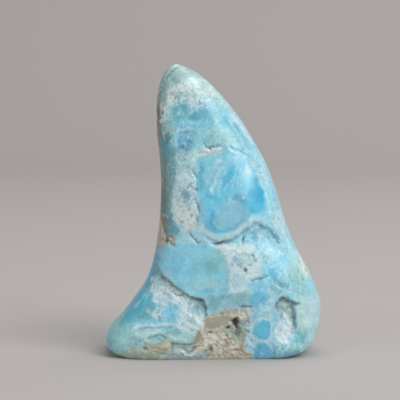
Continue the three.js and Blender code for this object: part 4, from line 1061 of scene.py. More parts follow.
def matrix_crusts() -> list[Paint]:
    """Lists the rough brown matrix along the base."""
    m = Mineral
    return [
        Crust(m.OLIVE, 0.9, [(-29, 0), (-27.4, 4.2), (-25, 4.6), (-23, 5), (-20, 6), (-17, 6.6),
              (-14, 5.9), (-10, 5.2), (-7.2, 5.2), (-6, 7.4), (-4.2, 9.5), (-3.2, 11), (-2.7, 13),
              (-2, 14.6), (0, 15.8), (3, 16.4), (7, 17.2), (10, 17.2), (12.2, 15.4), (12.2, 12),
              (11.2, 8), (10.2, 5), (11.5, 2.5), (12.6, 0)], 0.6, 0.3, 0.5),
        Crust(m.SAGE, 0.4, [(-30, 0), (-28, 4.4), (-22, 4.4), (-20, 0)], 1.6, 0.3, 0.2),
        Crust(m.MIST, 0.6, [(-13, 0), (-12.6, 4.6), (-8, 5.2), (-6.4, 5), (-5, 2.6), (-5, 0)], 0.8,
              0.4),
        Spot(m.TAN, 0.6, -16.2, 5.0, 2.0, 1.1, 0.3), Spot(m.TAN, 0.4, -21.0, 3.4, 2.6, 1.4, 0.3),
        Spot(m.MIST, 0.5, -14.4, 1.4, 2.4, 1.0), Spot(m.SAGE, 0.5, -18.0, 1.4, 3.0, 1.0),
        Crust(m.TAN, 0.8, [(-6, 0), (-6, 6), (-3.4, 10), (-1, 11), (3, 11), (5, 9), (9.6, 5),
              (12, 0)], 1.0, 0.35, 0.55),
        Crust(m.CREAM, 0.75, [(-5, 4), (-3.6, 9), (0, 10.4), (3, 9), (3.4, 5), (0, 3)], 1.0, 0.4,
              0.5),
        Crust(m.TAN, 0.7, [(-3, 11.4), (-2.2, 14), (0, 15.4), (4, 16), (8, 16.2), (11, 14),
              (9.2, 13), (7.4, 13.8), (6, 12.6), (2, 11.4)], 0.6, 0.3, 0.4),
        Crust(m.OLIVE, 0.95, [(-2, 13.5), (0, 14.2), (2, 14.8), (4, 14.6), (6.2, 14.2), (6, 13),
              (4.5, 12.3), (2, 11.5), (0, 11), (-2, 10.8), (-3, 12)], 0.4, 0.05, 0.0),
        Thread(m.CREAM, 0.6, [(-0.4, 10.4), (2.0, 11.0), (4.0, 11.9)], 0.45),
        Thread(m.CREAM, 0.45, [(-1.6, 14.6), (1.0, 15.2), (3.6, 15.3)], 0.5),
        Spot(m.ROSE, 0.6, 1.2, 15.6, 2.2, 0.5), Spot(m.BROWN, 0.6, 2.5, 15.5, 0.8, 0.3),
        Spot(m.SEAFOAM, 0.85, 4.4, 9.3, 1.2, 0.7, 0.2), Spot(m.SNOW, 0.8, 5.2, 7.6, 0.4, 0.4),
        Spot(m.SNOW, 0.8, 5.2, 12.4, 0.4, 0.4), Spot(m.CREAM, 0.75, -1.2, 8.5, 0.8, 0.6),
        Spot(m.SNOW, 0.4, -0.8, 6.4, 1.4, 1.4, 0.6), Spot(m.TAN, 0.6, 2.6, 6.4, 1.8, 2.0, 0.4),
        Spot(m.BROWN, 0.4, 2.6, 3.6, 2.0, 1.2, 0.3), Spot(m.BROWN, 0.45, 4.2, 5.0, 1.2, 1.0, 0.3),
        Spot(m.BROWN, 0.7, -1.2, 3.4, 1.3, 1.4, 0.2), Spot(m.BROWN, 0.5, 4.6, 2.0, 2.2, 0.9, 0.3),
        Spot(m.SAGE, 0.6, 7.2, 7.2, 1.4, 1.2, 0.3), Spot(m.MIST, 0.5, -3.2, 2.0, 1.2, 0.9, 0.3),
        Spot(m.OLIVE, 0.7, 0.4, 9.6, 2.6, 0.8, 0.2), Spot(m.BROWN, 0.5, -4.6, 8.0, 0.9, 1.2, 0.3),
        Spot(m.ROSE, 0.7, 8.4, 1.6, 1.8, 1.0, 0.3), Spot(m.CREAM, 0.4, 6.2, 1.4, 1.2, 0.6, 0.3),
        Crust(m.SAGE, 0.7, [(8.6, 9.6), (8.8, 13), (10, 14.4), (11.8, 13.6), (11.8, 10)], 0.6, 0.2),
        Crust(m.CREAM, 0.75, [(8.6, 13.8), (8, 16.6), (11.4, 16.8), (12.4, 14.8), (10.6, 13.6)],
              0.5, 0.75),
        Spot(m.MIST, 0.6, -4.0, 1.2, 4.0, 1.1, 0.2), Spot(m.BROWN, 0.6, -6.2, 4.2, 0.8, 0.8),
        Spot(m.BROWN, 0.35, -9.4, 3.9, 1.2, 0.6),
        Crust(m.LILAC, 0.75, [(10.8, 3.6), (11, 11.8), (13, 12), (13.4, 8), (12.8, 4)], 0.8, 0.7),
        Thread(m.SNOW, 0.85, [(-10.5, 2.9), (-9.5, 2.1), (-8.0, 1.9), (-6.5, 2.4), (-5.3, 3.2)],
               0.6),
        Thread(m.SLATE, 0.7, [(-9.9, 3.3), (-8.8, 2.9), (-7.3, 3.1), (-6.4, 3.8)], 0.45),
        Thread(m.SLATE, 0.65, [(-13.8, 5.6), (-13.7, 3.2)], 0.5),
        Spot(m.CREAM, 0.35, 4.2, 3.6, 2.8, 2.0, 0.3), Spot(m.UMBER, 0.9, 7.0, 13.0, 0.9, 0.8, 0.0),
        Spot(m.UMBER, 0.6, 6.0, 12.7, 0.6, 0.5),
        Thread(m.SLATE, 0.7, [(7.5, 12.5), (7.8, 10.6), (7.8, 8.6)], 1.0),
        Thread(m.SAGE, 0.5, [(8.6, 12.0), (8.8, 9.6), (8.6, 7.4)], 0.9),
        Spot(m.UMBER, 0.6, 4.5, 11.0, 0.5, 0.5), Spot(m.UMBER, 0.6, 5.3, 11.2, 0.3, 0.4),
        Spot(m.BROWN, 0.75, 5.0, 6.9, 0.9, 0.35), Spot(m.BROWN, 0.6, 4.5, 8.0, 0.5, 0.4),
        Spot(m.SLATE, 0.8, -1.2, 9.3, 0.7, 0.35), Spot(m.UMBER, 0.6, -1.0, 3.5, 0.5, 0.9),
        Spot(m.SLATE, 0.7, -22.5, 3.9, 0.8, 0.45), Spot(m.UMBER, 0.45, -0.4, 13.9, 0.4, 0.25),
        Thread(m.UMBER, 0.6, [(5.7, 3.3), (7.0, 2.9), (8.5, 3.1)], 0.45),
        Thread(m.BROWN, 0.6, [(-2.6, 10.4), (-1.8, 7.4), (-2.2, 4.4)], 0.5),
        Thread(m.BROWN, 0.6, [(-4.2, 5.4), (-2.6, 3.0), (-1.4, 1.2)], 0.6),
        Thread(m.UMBER, 0.5, [(1.4, 8.6), (3.2, 6.4), (4.4, 3.8), (6.2, 1.4)], 0.45),
        Thread(m.BROWN, 0.6, [(7.0, 5.6), (8.6, 4.2), (9.8, 1.8)], 0.6),
        Thread(m.SNOW, 0.5, [(0.4, 7.6), (2.4, 5.2), (2.8, 2.4)], 0.5),
        Spot(m.SLATE, 0.6, 8.0, 9.8, 0.9, 1.6), Spot(m.CREAM, 0.6, 6.6, 4.8, 1.2, 1.0, 0.5),
        Spot(m.CREAM, 0.5, 1.0, 3.2, 1.4, 1.0, 0.5), Spot(m.UMBER, 0.6, 0.6, 5.0, 0.6, 0.4),
        Spot(m.UMBER, 0.6, -3.4, 7.0, 0.5, 0.5),
    ]


def right_crusts() -> list[Paint]:
    """Lists the crusts of the lower right, round the cave."""
    m = Mineral
    return [
        Crust(m.SEAFOAM, 0.7, [(24, 33), (31, 30), (37, 20), (37, 6), (31, 2), (28, 8), (29, 18),
              (26, 25)], 1.4, 0.1, 0.0),
        Crust(m.CREAM, 0.6, [(27.4, 35), (28.8, 34.6), (31, 30), (31.6, 26.4), (29.6, 27.6),
              (28.2, 31)], 0.5, 0.95, 0.5),
        Thread(m.MINT, 0.8, [(24.6, 35), (26.6, 30), (27.4, 24), (28.6, 18), (29.2, 12), (30.6, 7)],
               1.6, 0.3),
        Crust(m.SKY, 0.8, [(16, 26), (17, 32), (22, 33), (24, 30), (23, 26), (19.6, 24.6)], 1.0,
              0.25),
        Spot(m.AZURE, 0.75, 19.6, 28.8, 1.4, 1.8), Spot(m.SKY, 0.6, 23.0, 33.6, 3.0, 1.6, 0.1),
        Crust(m.TEAL, 0.45, [(18.6, 21.6), (19, 26), (22.4, 26.4), (23.4, 22)], 0.9, 0.45),
        Spot(m.DEEP_TEAL, 0.55, 22.0, 25.0, 0.6, 0.5), Spot(m.DEEP_TEAL, 0.5, 23.0, 24.4, 0.4, 0.5),
        Crust(m.LAGOON, 0.45, [(24.2, 20.8), (24.4, 26.4), (28.2, 27), (28.6, 21.6)], 1.0, 0.3),
        Thread(m.CHALK, 0.7, [(20.4, 29.3), (22.5, 28.1), (24.2, 26.4)], 0.6),
        Thread(m.CHALK, 0.5, [(17, 33.4), (20.6, 34.6), (24.4, 34.4)], 0.8),
        Crust(m.AZURE, 0.7, [(12.6, 26.6), (13, 22.6), (16.6, 22.4), (18, 24), (17.2, 26.2)], 0.7,
              0.1),
        Crust(m.SKY, 0.75, [(13, 26), (13.4, 23), (17, 23), (16.8, 26)], 0.8, 0.3),
        Crust(m.AZURE, 0.75, [(13.2, 22.4), (17.6, 22), (18, 19), (17.6, 17.8), (13.2, 18.2)], 0.7,
              0.15),
        Spot(m.DENIM, 0.35, 15.4, 20.0, 1.8, 1.2), Spot(m.ICE, 0.95, 16.4, 16.4, 1.8, 2.6, 0.4),
        Crust(m.MIST, 0.6, [(12.4, 18), (14.6, 17.6), (14.4, 13.6), (12.6, 13)], 0.7, 0.4),
        Crust(m.AZURE, 0.9, [(13.2, 11), (15, 12.6), (17.4, 13.4), (18.6, 12.2), (18.8, 10.2),
              (18.4, 8), (17.4, 6.8), (15, 6.8), (13.2, 8.2), (12.8, 9.8)], 0.5, 0.1),
        Spot(m.LAGOON, 0.7, 13.4, 9.4, 0.9, 1.4), Spot(m.SKY, 0.25, 16.0, 10.0, 1.8, 1.8),
        Spot(m.ICE, 0.35, 15.4, 24.6, 1.6, 1.4, 0.2),
        Crust(m.DENIM, 0.75, [(13.6, 0), (13.6, 5.2), (17, 5.8), (20.6, 4.4), (21, 0)], 0.8, 0.3),
        Crust(m.AZURE, 0.5, [(14, 0.6), (14.4, 4.8), (18.6, 4.6), (19, 0.6)], 1.2, 0.2),
        Spot(m.MIST, 0.4, 12.8, 2.4, 1.0, 1.8, 0.3), Spot(m.LILAC, 0.6, 19.6, 6.6, 1.1, 2.6, 0.2),
        Thread(m.SNOW, 0.6, [(17, 26.6), (18, 24), (19, 22), (18.6, 20), (17.8, 19), (18, 16.5),
               (18.2, 14)], 0.8, 0.1),
        Thread(m.SNOW, 0.75, [(12.4, 11.8), (13.4, 12.7), (14.6, 13.4), (16.5, 14), (17.8, 13.8),
               (18.8, 12.6)], 0.6, 0.1),
        Thread(m.SNOW, 0.75, [(19.2, 12.2), (19.2, 9.5), (18.6, 7.6), (17.6, 6.3), (15, 6),
               (13, 5.8)], 0.6, 0.1),
        Thread(m.SNOW, 0.5, [(17.3, 6.5), (18.0, 5.3), (19.0, 4.0), (19.6, 2.8)], 0.45, 0.1),
        Spot(m.LILAC, 0.5, 14.0, 6.2, 1.2, 0.8, 0.3), Spot(m.CHALK, 0.5, 13.0, 12.6, 0.8, 0.6),
        Crust(m.MINT, 0.5, [(18.6, 20), (20.4, 20.6), (21, 22), (19.4, 23), (18.4, 21.8)], 0.6,
              0.3),
        Crust(m.MIST, 0.85, [(20.2, 18), (21, 19.6), (22.4, 20.6), (24.8, 20.4), (26.4, 19.2),
              (28.4, 18.5), (27, 15), (27, 12), (24, 12), (22, 14), (21, 16)], 0.5, 0.25, 0.5),
        # Painted shade: slate under the cave's top rim and down its right wall, with sage over the
        # shaded wall
        Thread(m.SLATE, 0.75, [(20.5, 17.6), (20.9, 18.9), (22.0, 19.8), (23.4, 20.0)], 1.1),
        Thread(m.SLATE, 0.45, [(23.4, 20.1), (25, 19.5), (26.4, 18.7), (28.2, 18.2)], 0.9),
        Crust(m.SAGE, 0.75, [(21.4, 18.2), (22.8, 19.8), (25, 19.2), (26.4, 17), (27, 14),
              (27, 10.6), (26, 8.6), (25.2, 12), (24.4, 14.8), (22.6, 16.8)], 0.6, 0.25),
        Thread(m.SLATE, 0.45, [(26.2, 17.2), (26.9, 14.6), (27.0, 11.6), (26.4, 8.8)], 0.9),
        Thread(m.CHALK, 0.6, [(22.6, 18.2), (24.0, 16.6), (25.0, 14.4)], 0.5),
        Thread(m.CHALK, 0.5, [(24.2, 18.4), (25.2, 16.8), (26.0, 14.6)], 0.4),
        Thread(m.SAGE, 0.6, [(20.8, 17.0), (21.6, 15.0), (22.6, 13.8)], 0.7),
        Crust(m.SNOW, 0.9, [(20.4, 9), (21, 12), (22.5, 14.2), (24.5, 14.4), (26.2, 12.6),
              (26.4, 10), (26, 7.5), (25, 5.5), (23, 5), (21.4, 6.5)], 0.6, 0.6, 0.35),
        Thread(m.SNOW, 0.8, [(22.7, 13.6), (23.4, 12.8), (24.2, 12.2)], 0.6),
        Spot(m.SNOW, 0.7, 24.2, 8.6, 1.4, 2.0, 0.4), Spot(m.ROSE, 0.55, 21.8, 11.0, 0.8, 0.5),
        Spot(m.LILAC, 0.5, 24.0, 11.4, 1.2, 0.9, 0.4), Spot(m.SAGE, 0.5, 22.4, 15.6, 0.9, 1.4),
        Thread(m.ICE, 0.5, [(19.6, 14), (19.8, 10.6), (20.2, 8)], 1.0, 0.3),
        Crust(m.LAGOON, 0.75, [(27.4, 4.6), (28, 9.6), (31.4, 10), (32, 6), (29.6, 4.2)], 0.9, 0.3),
        Crust(m.MINT, 0.7, [(28.6, 10), (29, 17.6), (33, 20), (36, 15), (34.6, 9)], 1.4, 0.15),
        Spot(m.SKY, 0.4, 33.2, 23.4, 1.6, 3.6), Spot(m.CHALK, 0.7, 32.4, 15.6, 2.6, 5.0, 0.15),
        Thread(m.SNOW, 0.4, [(29.6, 15.6), (32.4, 15.2), (35.4, 15.8)], 0.6),
        Thread(m.SNOW, 0.35, [(30.2, 12.2), (33.0, 12.0), (35.6, 12.8)], 0.5),
        Crust(m.SEAFOAM, 0.6, [(20.6, 2.8), (21, 6.2), (24, 4.8), (28.4, 5.8), (28.4, 3)], 0.7,
              0.6),
        Crust(m.TEAL, 0.7, [(22.6, 0), (22.6, 2.6), (26, 3.2), (28.4, 2.6), (28.4, 0)], 0.7, 0.1),
        Crust(m.LAGOON, 0.5, [(19.4, 0), (19.6, 2.6), (23, 2.8), (23, 0)], 0.7, 0.2),
        Spot(m.CHALK, 0.5, 32.0, 6.0, 2.2, 2.4, 0.3), Spot(m.SAGE, 0.45, 29.6, 26.0, 0.6, 0.6),
        Spot(m.SAGE, 0.45, 29.4, 21.0, 0.6, 0.6),
        Thread(m.MINT, 0.5, [(28.2, 31), (28.6, 27), (29, 24)], 0.8),
        Thread(m.SAGE, 0.45, [(28.8, 29), (29.6, 27.6)], 0.8),
        Thread(m.SNOW, 0.5, [(23.6, 29.6), (25.4, 25.0), (25.0, 22.4)], 0.6, 0.4),
        Thread(m.SNOW, 0.5, [(20.6, 25.6), (22.2, 23.4), (24.6, 22.2), (27.4, 22.0)], 0.5, 0.4),
    ]


def back_crusts() -> list[Paint]:
    """Lists the crusts of the back, which carry the front's bands on round the stone."""
    m = Mineral
    return [
        Crust(m.SKY, 0.75, [(-18, 40), (-16, 68), (-8, 82), (6, 80), (16, 64), (22, 46), (12, 36)],
              3.0, 0.3),
        Crust(m.SEAFOAM, 0.6, [(8, 76), (13, 70), (20, 56), (26, 42), (22, 38), (16, 50), (9, 64)],
              1.8, 0.4),
        Crust(m.MINT, 0.8, [(-20, 84), (-16, 99), (-8, 99), (6, 84), (-2, 80), (-10, 84)], 2.0, 0.4,
              0.05),
        Crust(m.CREAM, 0.6, [(-15, 86), (-12, 91), (-6, 90.6), (-2, 87), (-6, 84.6), (-11, 86)],
              1.4, 0.6, 0.3),
        Crust(m.LAGOON, 0.7, [(-16, 76), (-14, 83), (-6, 82.4), (2, 81), (1, 78), (-8, 78.6)], 1.0,
              0.3),
        Crust(m.TEAL, 0.7, [(-21, 44), (-20, 78), (-15, 76), (-15, 60), (-16, 46)], 1.6, 0.25),
        Spot(m.DEEP_TEAL, 0.5, -16.2, 70.4, 1.2, 3.0),
        Spot(m.DENIM, 0.6, -4.0, 76.0, 2.6, 1.8, 0.2),
        Spot(m.OLIVE, 0.5, -10.0, 88.0, 2.4, 1.0, 0.5), Spot(m.TEAL, 0.5, 1.6, 77.2, 2.2, 1.2),
        Spot(m.LILAC, 0.6, -10.4, 73.4, 2.6, 1.4, 0.8), Spot(m.SNOW, 0.5, 7.4, 72.0, 2.0, 1.0, 0.8),
        Crust(m.CHALK, 0.9, [(-12, 62), (-6, 67), (3, 65.4), (10, 60), (4, 58.6), (-4, 60)], 1.2,
              0.7, 0.25),
        Spot(m.SNOW, 0.8, -5.0, 63.4, 2.4, 1.2, 0.8), Spot(m.SNOW, 0.7, 3.4, 62.2, 2.2, 1.0, 0.7),
        Spot(m.CREAM, 0.6, -0.8, 61.4, 2.0, 0.8), Spot(m.LILAC, 0.5, 6.6, 60.8, 1.8, 0.8, 0.8),
        Crust(m.SKY, 0.9, [(1, 44), (0.6, 50), (4, 57), (10, 58.4), (16, 54), (17, 46), (12, 41),
              (5, 41)], 0.7, 0.2, 0.0),
        Crust(m.AZURE, 0.8, [(3, 46), (6, 54), (12, 55), (15, 49), (12, 43.6), (6, 43)], 1.2, 0.1),
        Crust(m.MIST, 0.7, [(7, 45.4), (8, 49.6), (11.4, 50.4), (13, 47.6), (11, 44.6)], 0.5, 0.1),
        Thread(m.ICE, 0.8, [(6.4, 45), (7.2, 50), (11.4, 51.2), (13.8, 48), (11.6, 44)], 0.6),
        Thread(m.SNOW, 0.7, [(0.8, 46), (1.2, 51), (4.6, 56.6), (10, 58), (15, 54.6)], 0.7),
        Spot(m.STRONG_AZURE, 0.7, 5.4, 52.0, 1.4, 2.0), Spot(m.DENIM, 0.5, 13.4, 52.2, 1.2, 1.6),
        Crust(m.LAGOON, 0.7, [(-15, 40), (-15.6, 48), (-13, 58), (-8, 60), (-9, 52), (-11, 44)],
              1.0, 0.2),
        Crust(m.SNOW, 0.85, [(-12, 42), (-10, 52), (-6, 58), (-2, 56), (-4, 50), (-3, 45),
              (-7, 41)], 0.9, 0.7, 0.2),
        Spot(m.STEEL, 0.6, -7.6, 48.0, 1.8, 2.2, 0.4),
        Spot(m.CREAM, 0.6, -5.2, 54.4, 1.6, 1.8, 0.6), Spot(m.TEAL, 0.5, -6.4, 43.6, 1.4, 1.2, 0.3),
        Spot(m.TAN, 0.7, -15.8, 44.0, 1.8, 3.4, 0.3, 0.4),
        Crust(m.ICE, 0.8, [(-4, 41), (-2, 50), (0.4, 46), (3, 41), (0, 38.6)], 0.9, 0.5),
        Crust(m.SEAFOAM, 0.85, [(-40, 0), (-36, 16), (-22, 30), (-8, 36), (10, 33), (30, 36),
              (38, 18), (36, 0)], 2.4, 0.35),
        Crust(m.SKY, 0.85, [(-21, 20), (-17, 31), (-6, 34), (0, 27), (-4, 18.4), (-14, 16)], 0.8,
              0.15),
        Spot(m.ICE, 0.5, -12.6, 25.4, 3.6, 2.6), Spot(m.AZURE, 0.5, -6.4, 22.8, 2.0, 1.8, 0.1),
        Thread(m.SNOW, 0.7, [(-20.4, 20.6), (-16.6, 30.4), (-6.4, 33.6), (-0.6, 27)], 0.7, 0.3),
        Crust(m.SNOW, 0.85, [(-1, 20), (1, 27), (7, 28.6), (10, 24), (7.4, 18), (2.4, 16.6)], 0.8,
              0.6, 0.3),
        Spot(m.STEEL, 0.5, 3.4, 22.0, 1.6, 1.6, 0.4),
        Spot(m.SEAFOAM, 0.5, 6.6, 25.0, 1.4, 1.6, 0.6), Spot(m.SLATE, 0.6, 5.0, 19.6, 0.8, 0.6),
        Spot(m.LILAC, 0.5, 8.0, 21.4, 1.0, 1.4, 0.8),
        Crust(m.AZURE, 0.75, [(4, 30), (8, 34.6), (18, 35), (25, 29), (21, 26), (12, 28)], 0.8,
              0.2),
        Crust(m.LAGOON, 0.6, [(11, 31), (15, 34), (20, 31.6), (17, 29)], 0.8, 0.2),
        Thread(m.SNOW, 0.7, [(9.6, 30), (14, 28.4), (20, 27), (25, 28.6)], 0.8, 0.3),
        Crust(m.CHALK, 0.7, [(22, 24), (25, 31), (31, 28), (33, 20), (28, 17)], 1.2, 0.7, 0.2),
        Crust(m.STRONG_AZURE, 0.6, [(-31, 11), (-24, 20), (-19, 17), (-23, 10)], 0.8, 0.15),
        Spot(m.SNOW, 0.6, -16.4, 11.8, 3.4, 1.0, 0.7),
        Spot(m.LILAC, 0.6, -8.6, 13.4, 2.8, 1.2, 0.8),
        Crust(m.OLIVE, 0.9, [(-27, -1), (-21, 6.4), (-14, 5.4), (-8, 8.4), (-1, 7.2), (5, 9.6),
              (11, 6), (15, -1)], 0.6, 0.3, 0.5),
        Crust(m.TAN, 0.8, [(-20, 0), (-14, 4.6), (-8, 7), (0, 5.4), (6, 7.6), (10, 3.4), (12, 0)],
              0.8, 0.35, 0.55),
        Crust(m.CREAM, 0.7, [(-10, 1), (-8, 5.4), (-3, 5.2), (0, 2.6), (-4, 0.4)], 0.8, 0.4, 0.5),
        Spot(m.ROSE, 0.6, 6.4, 2.4, 2.4, 1.2, 0.3), Spot(m.BROWN, 0.6, 2.6, 5.2, 1.8, 0.8),
        Spot(m.BROWN, 0.5, -14.0, 2.4, 2.4, 0.9), Spot(m.MIST, 0.6, -19.0, 1.8, 3.2, 1.0, 0.3),
        Spot(m.UMBER, 0.8, 5.4, 8.0, 0.9, 0.7), Spot(m.SLATE, 0.6, -3.0, 12.2, 0.8, 0.6),
        Thread(m.UMBER, 0.6, [(-8.6, 6.8), (-6.0, 4.0), (-6.6, 1.4)], 0.5),
        Thread(m.BROWN, 0.6, [(-1, 4.2), (2.4, 2.4), (6, 4.4), (8.6, 3.2)], 0.5),
        Crust(m.SNOW, 0.85, [(12, 22.4), (15.2, 24.6), (19, 23.8), (21.4, 20.2), (19.8, 16.4),
              (15.6, 15.2), (12.4, 18)], 0.6, 0.6, 0.4),
        # Painted shade: sage and slate under the back hollow's top rim
        Spot(m.SAGE, 0.7, 16.4, 21.8, 3.2, 1.2, 0.3), Spot(m.SLATE, 0.6, 17.0, 23.6, 3.0, 0.6),
        Crust(m.DENIM, 0.8, [(22, 2), (22.6, 11), (27, 13.6), (32, 10), (33, 3), (28, 1)], 0.7,
              0.2),
        Crust(m.AZURE, 0.7, [(12, 8), (13, 13.4), (18, 14), (20, 9.6), (16, 6.4)], 0.6, 0.15),
        Thread(m.SNOW, 0.8, [(11.4, 7.6), (12.6, 14), (18.4, 14.6), (21, 9.6), (23, 12), (27, 14.2),
               (32, 10.6)], 0.7, 0.1),
        Crust(m.MINT, 0.7, [(31, 12), (30, 22), (37, 18), (37, 8)], 1.2, 0.2),
        Thread(m.SNOW, 0.85, [(-25, 18), (-18, 15), (-10, 16.4), (-2, 13.6), (6, 14.4)], 0.9, 0.1),
        Thread(m.STEEL, 0.7, [(-24, 17), (-18, 14), (-10, 15.4), (-2, 12.8)], 0.8),
        Thread(m.SNOW, 0.7, [(8, 40), (13, 37), (19, 38.4), (26, 35)], 0.9, 0.1),
        Thread(m.SNOW, 0.6, [(-14, 74), (-6, 72), (2, 75), (8, 73.4)], 0.8, 0.3),
        Thread(m.CREAM, 0.6, [(-12, 69), (-4, 68.4), (4, 69.8), (10, 66)], 0.7, 0.3),
        Thread(m.SLATE, 0.8, [(-6.0, 66.0), (-2.4, 64.2), (2.2, 64.6)], 0.6),
        Thread(m.SLATE, 0.7, [(-24.0, 12.4), (-20.0, 14.2), (-15.0, 13.4)], 0.6),
        Thread(m.SNOW, 0.8, [(18.6, 48), (16.8, 43.6), (13, 40.8), (7.6, 40), (2.4, 38.4),
               (-3.4, 38.8), (-9.6, 36.4)], 0.8),
        # Painted shadow: slate just under the back ledge's rim
        Thread(m.SLATE, 0.6, [(16.2, 42.4), (12.6, 39.4), (7.6, 38.6), (2.6, 37), (-3.4, 37.4)],
               0.8),
        Thread(m.SLATE, 0.6, [(-11.6, 52.4), (-9.0, 50.6), (-8.2, 47.4), (-5.4, 45.6)], 0.5),
    ]


# The finish

# The finishes

def add_node(
    tree: bpy.types.NodeTree,
    kind: str,
    settings: dict[str, object] | None = None,
    inputs: dict[str | int, object] | None = None,
) -> bpy.types.Node:
    """Adds a node with its settings and links.

    Args:
        tree: The node tree that gets the node.
        kind: The node's type.
        settings: The node's own options by name.
        inputs: For each socket, by name or place, a value or the output that feeds it.

    Returns:
        The new node.
    """
    node = tree.nodes.new(kind)
    for name, value in (settings or {}).items():
        setattr(node, name, value)
    for socket, value in (inputs or {}).items():
        if isinstance(value, bpy.types.NodeSocket):
            tree.links.new(value, node.inputs[socket])
        else:
            node.inputs[socket].default_value = value
    return node


@dataclass(frozen=True)
class Cover:
    """How one kind of powder covers what lies under it.

    Chalk raises the grain by its pull. The cover starts at one level of the raised grain, is full
    at the other, and never hides more than its most.
    """

    pull: float
    start: float
    full: float
    most: float


@dataclass(frozen=True)
class Recipe:
    """The steps that a finish is mixed in, each of them a node or two of its tree."""

    tree: bpy.types.NodeTree

    def attribute(self, name: str, output: str = "Fac") -> Socket:
        """Reads one of the stone's own attributes."""
        return add_node(self.tree, "ShaderNodeAttribute", {"attribute_name": name}).outputs[output]

    def noise(
        self, place: Socket, size_mm: float, detail: float, roughness: float, bend: float = 0.0
    ) -> Socket:
        """Fills the stone with solid noise.

        Args:
            place: Where each point lies on the stone.
            size_mm: The size of the broadest lumps.
            detail: How many finer lumps lie on each.
            roughness: How strong those are.
            bend: How far the lumps are dragged about.

        Returns:
            The noise, about 0.5.
        """
        return add_node(
            self.tree, "ShaderNodeTexNoise",
            inputs={
                "Vector": place, "Scale": 1 / (size_mm * MM), "Detail": detail,
                "Roughness": roughness, "Distortion": bend,
            },
        ).outputs["Fac"]

    def maths(self, operation: str, *values: Socket | float) -> Socket:
        """Works out one sum from its values."""
        inputs = dict(enumerate(values))
        return add_node(self.tree, "ShaderNodeMath", {"operation": operation}, inputs).outputs[0]

    def span(
        self, value: Socket, source: Span, target: Span, smooth: bool = False
    ) -> Socket:
        """Carries a value from one span to another.

        Args:
            value: The value.
            source: Where it starts and ends.
            target: What it becomes there.
            smooth: Whether it leaves both ends slowly.

        Returns:
            The carried value.
        """
        return add_node(
            self.tree, "ShaderNodeMapRange",
            {"interpolation_type": "SMOOTHSTEP" if smooth else "LINEAR"},
            {"Value": value, 1: source[0], 2: source[1], 3: target[0], 4: target[1]},
        ).outputs["Result"]

    def blend(self, share: Socket, under: Socket | Mineral, over: Socket | Mineral) -> Socket:
        """Lays a colour over another by a share."""
        low, high = (
            (*linear(colour.value), 1.0) if isinstance(colour, Mineral) else colour
            for colour in (under, over)
        )
        inputs = {0: share, 6: low, 7: high}
        return add_node(self.tree, "ShaderNodeMix", {"data_type": "RGBA"}, inputs).outputs[2]

    def cover(
        self, cover: Cover, chalk: Socket, grain: Socket, under: Socket, over: Socket | Mineral
    ) -> Socket:
        """Lays a powder over a colour.

        Args:
            cover: How the powder covers.
            chalk: The share of chalk.
            grain: The noise that the powder follows.
            under: The colour below.
            over: The powder's colour.

        Returns:
            The covered colour.
        """
        level = self.maths("MULTIPLY_ADD", chalk, cover.pull, grain)
        share = self.span(level, (cover.start, cover.full), (0.0, cover.most), smooth=True)
        return self.blend(share, under, over)


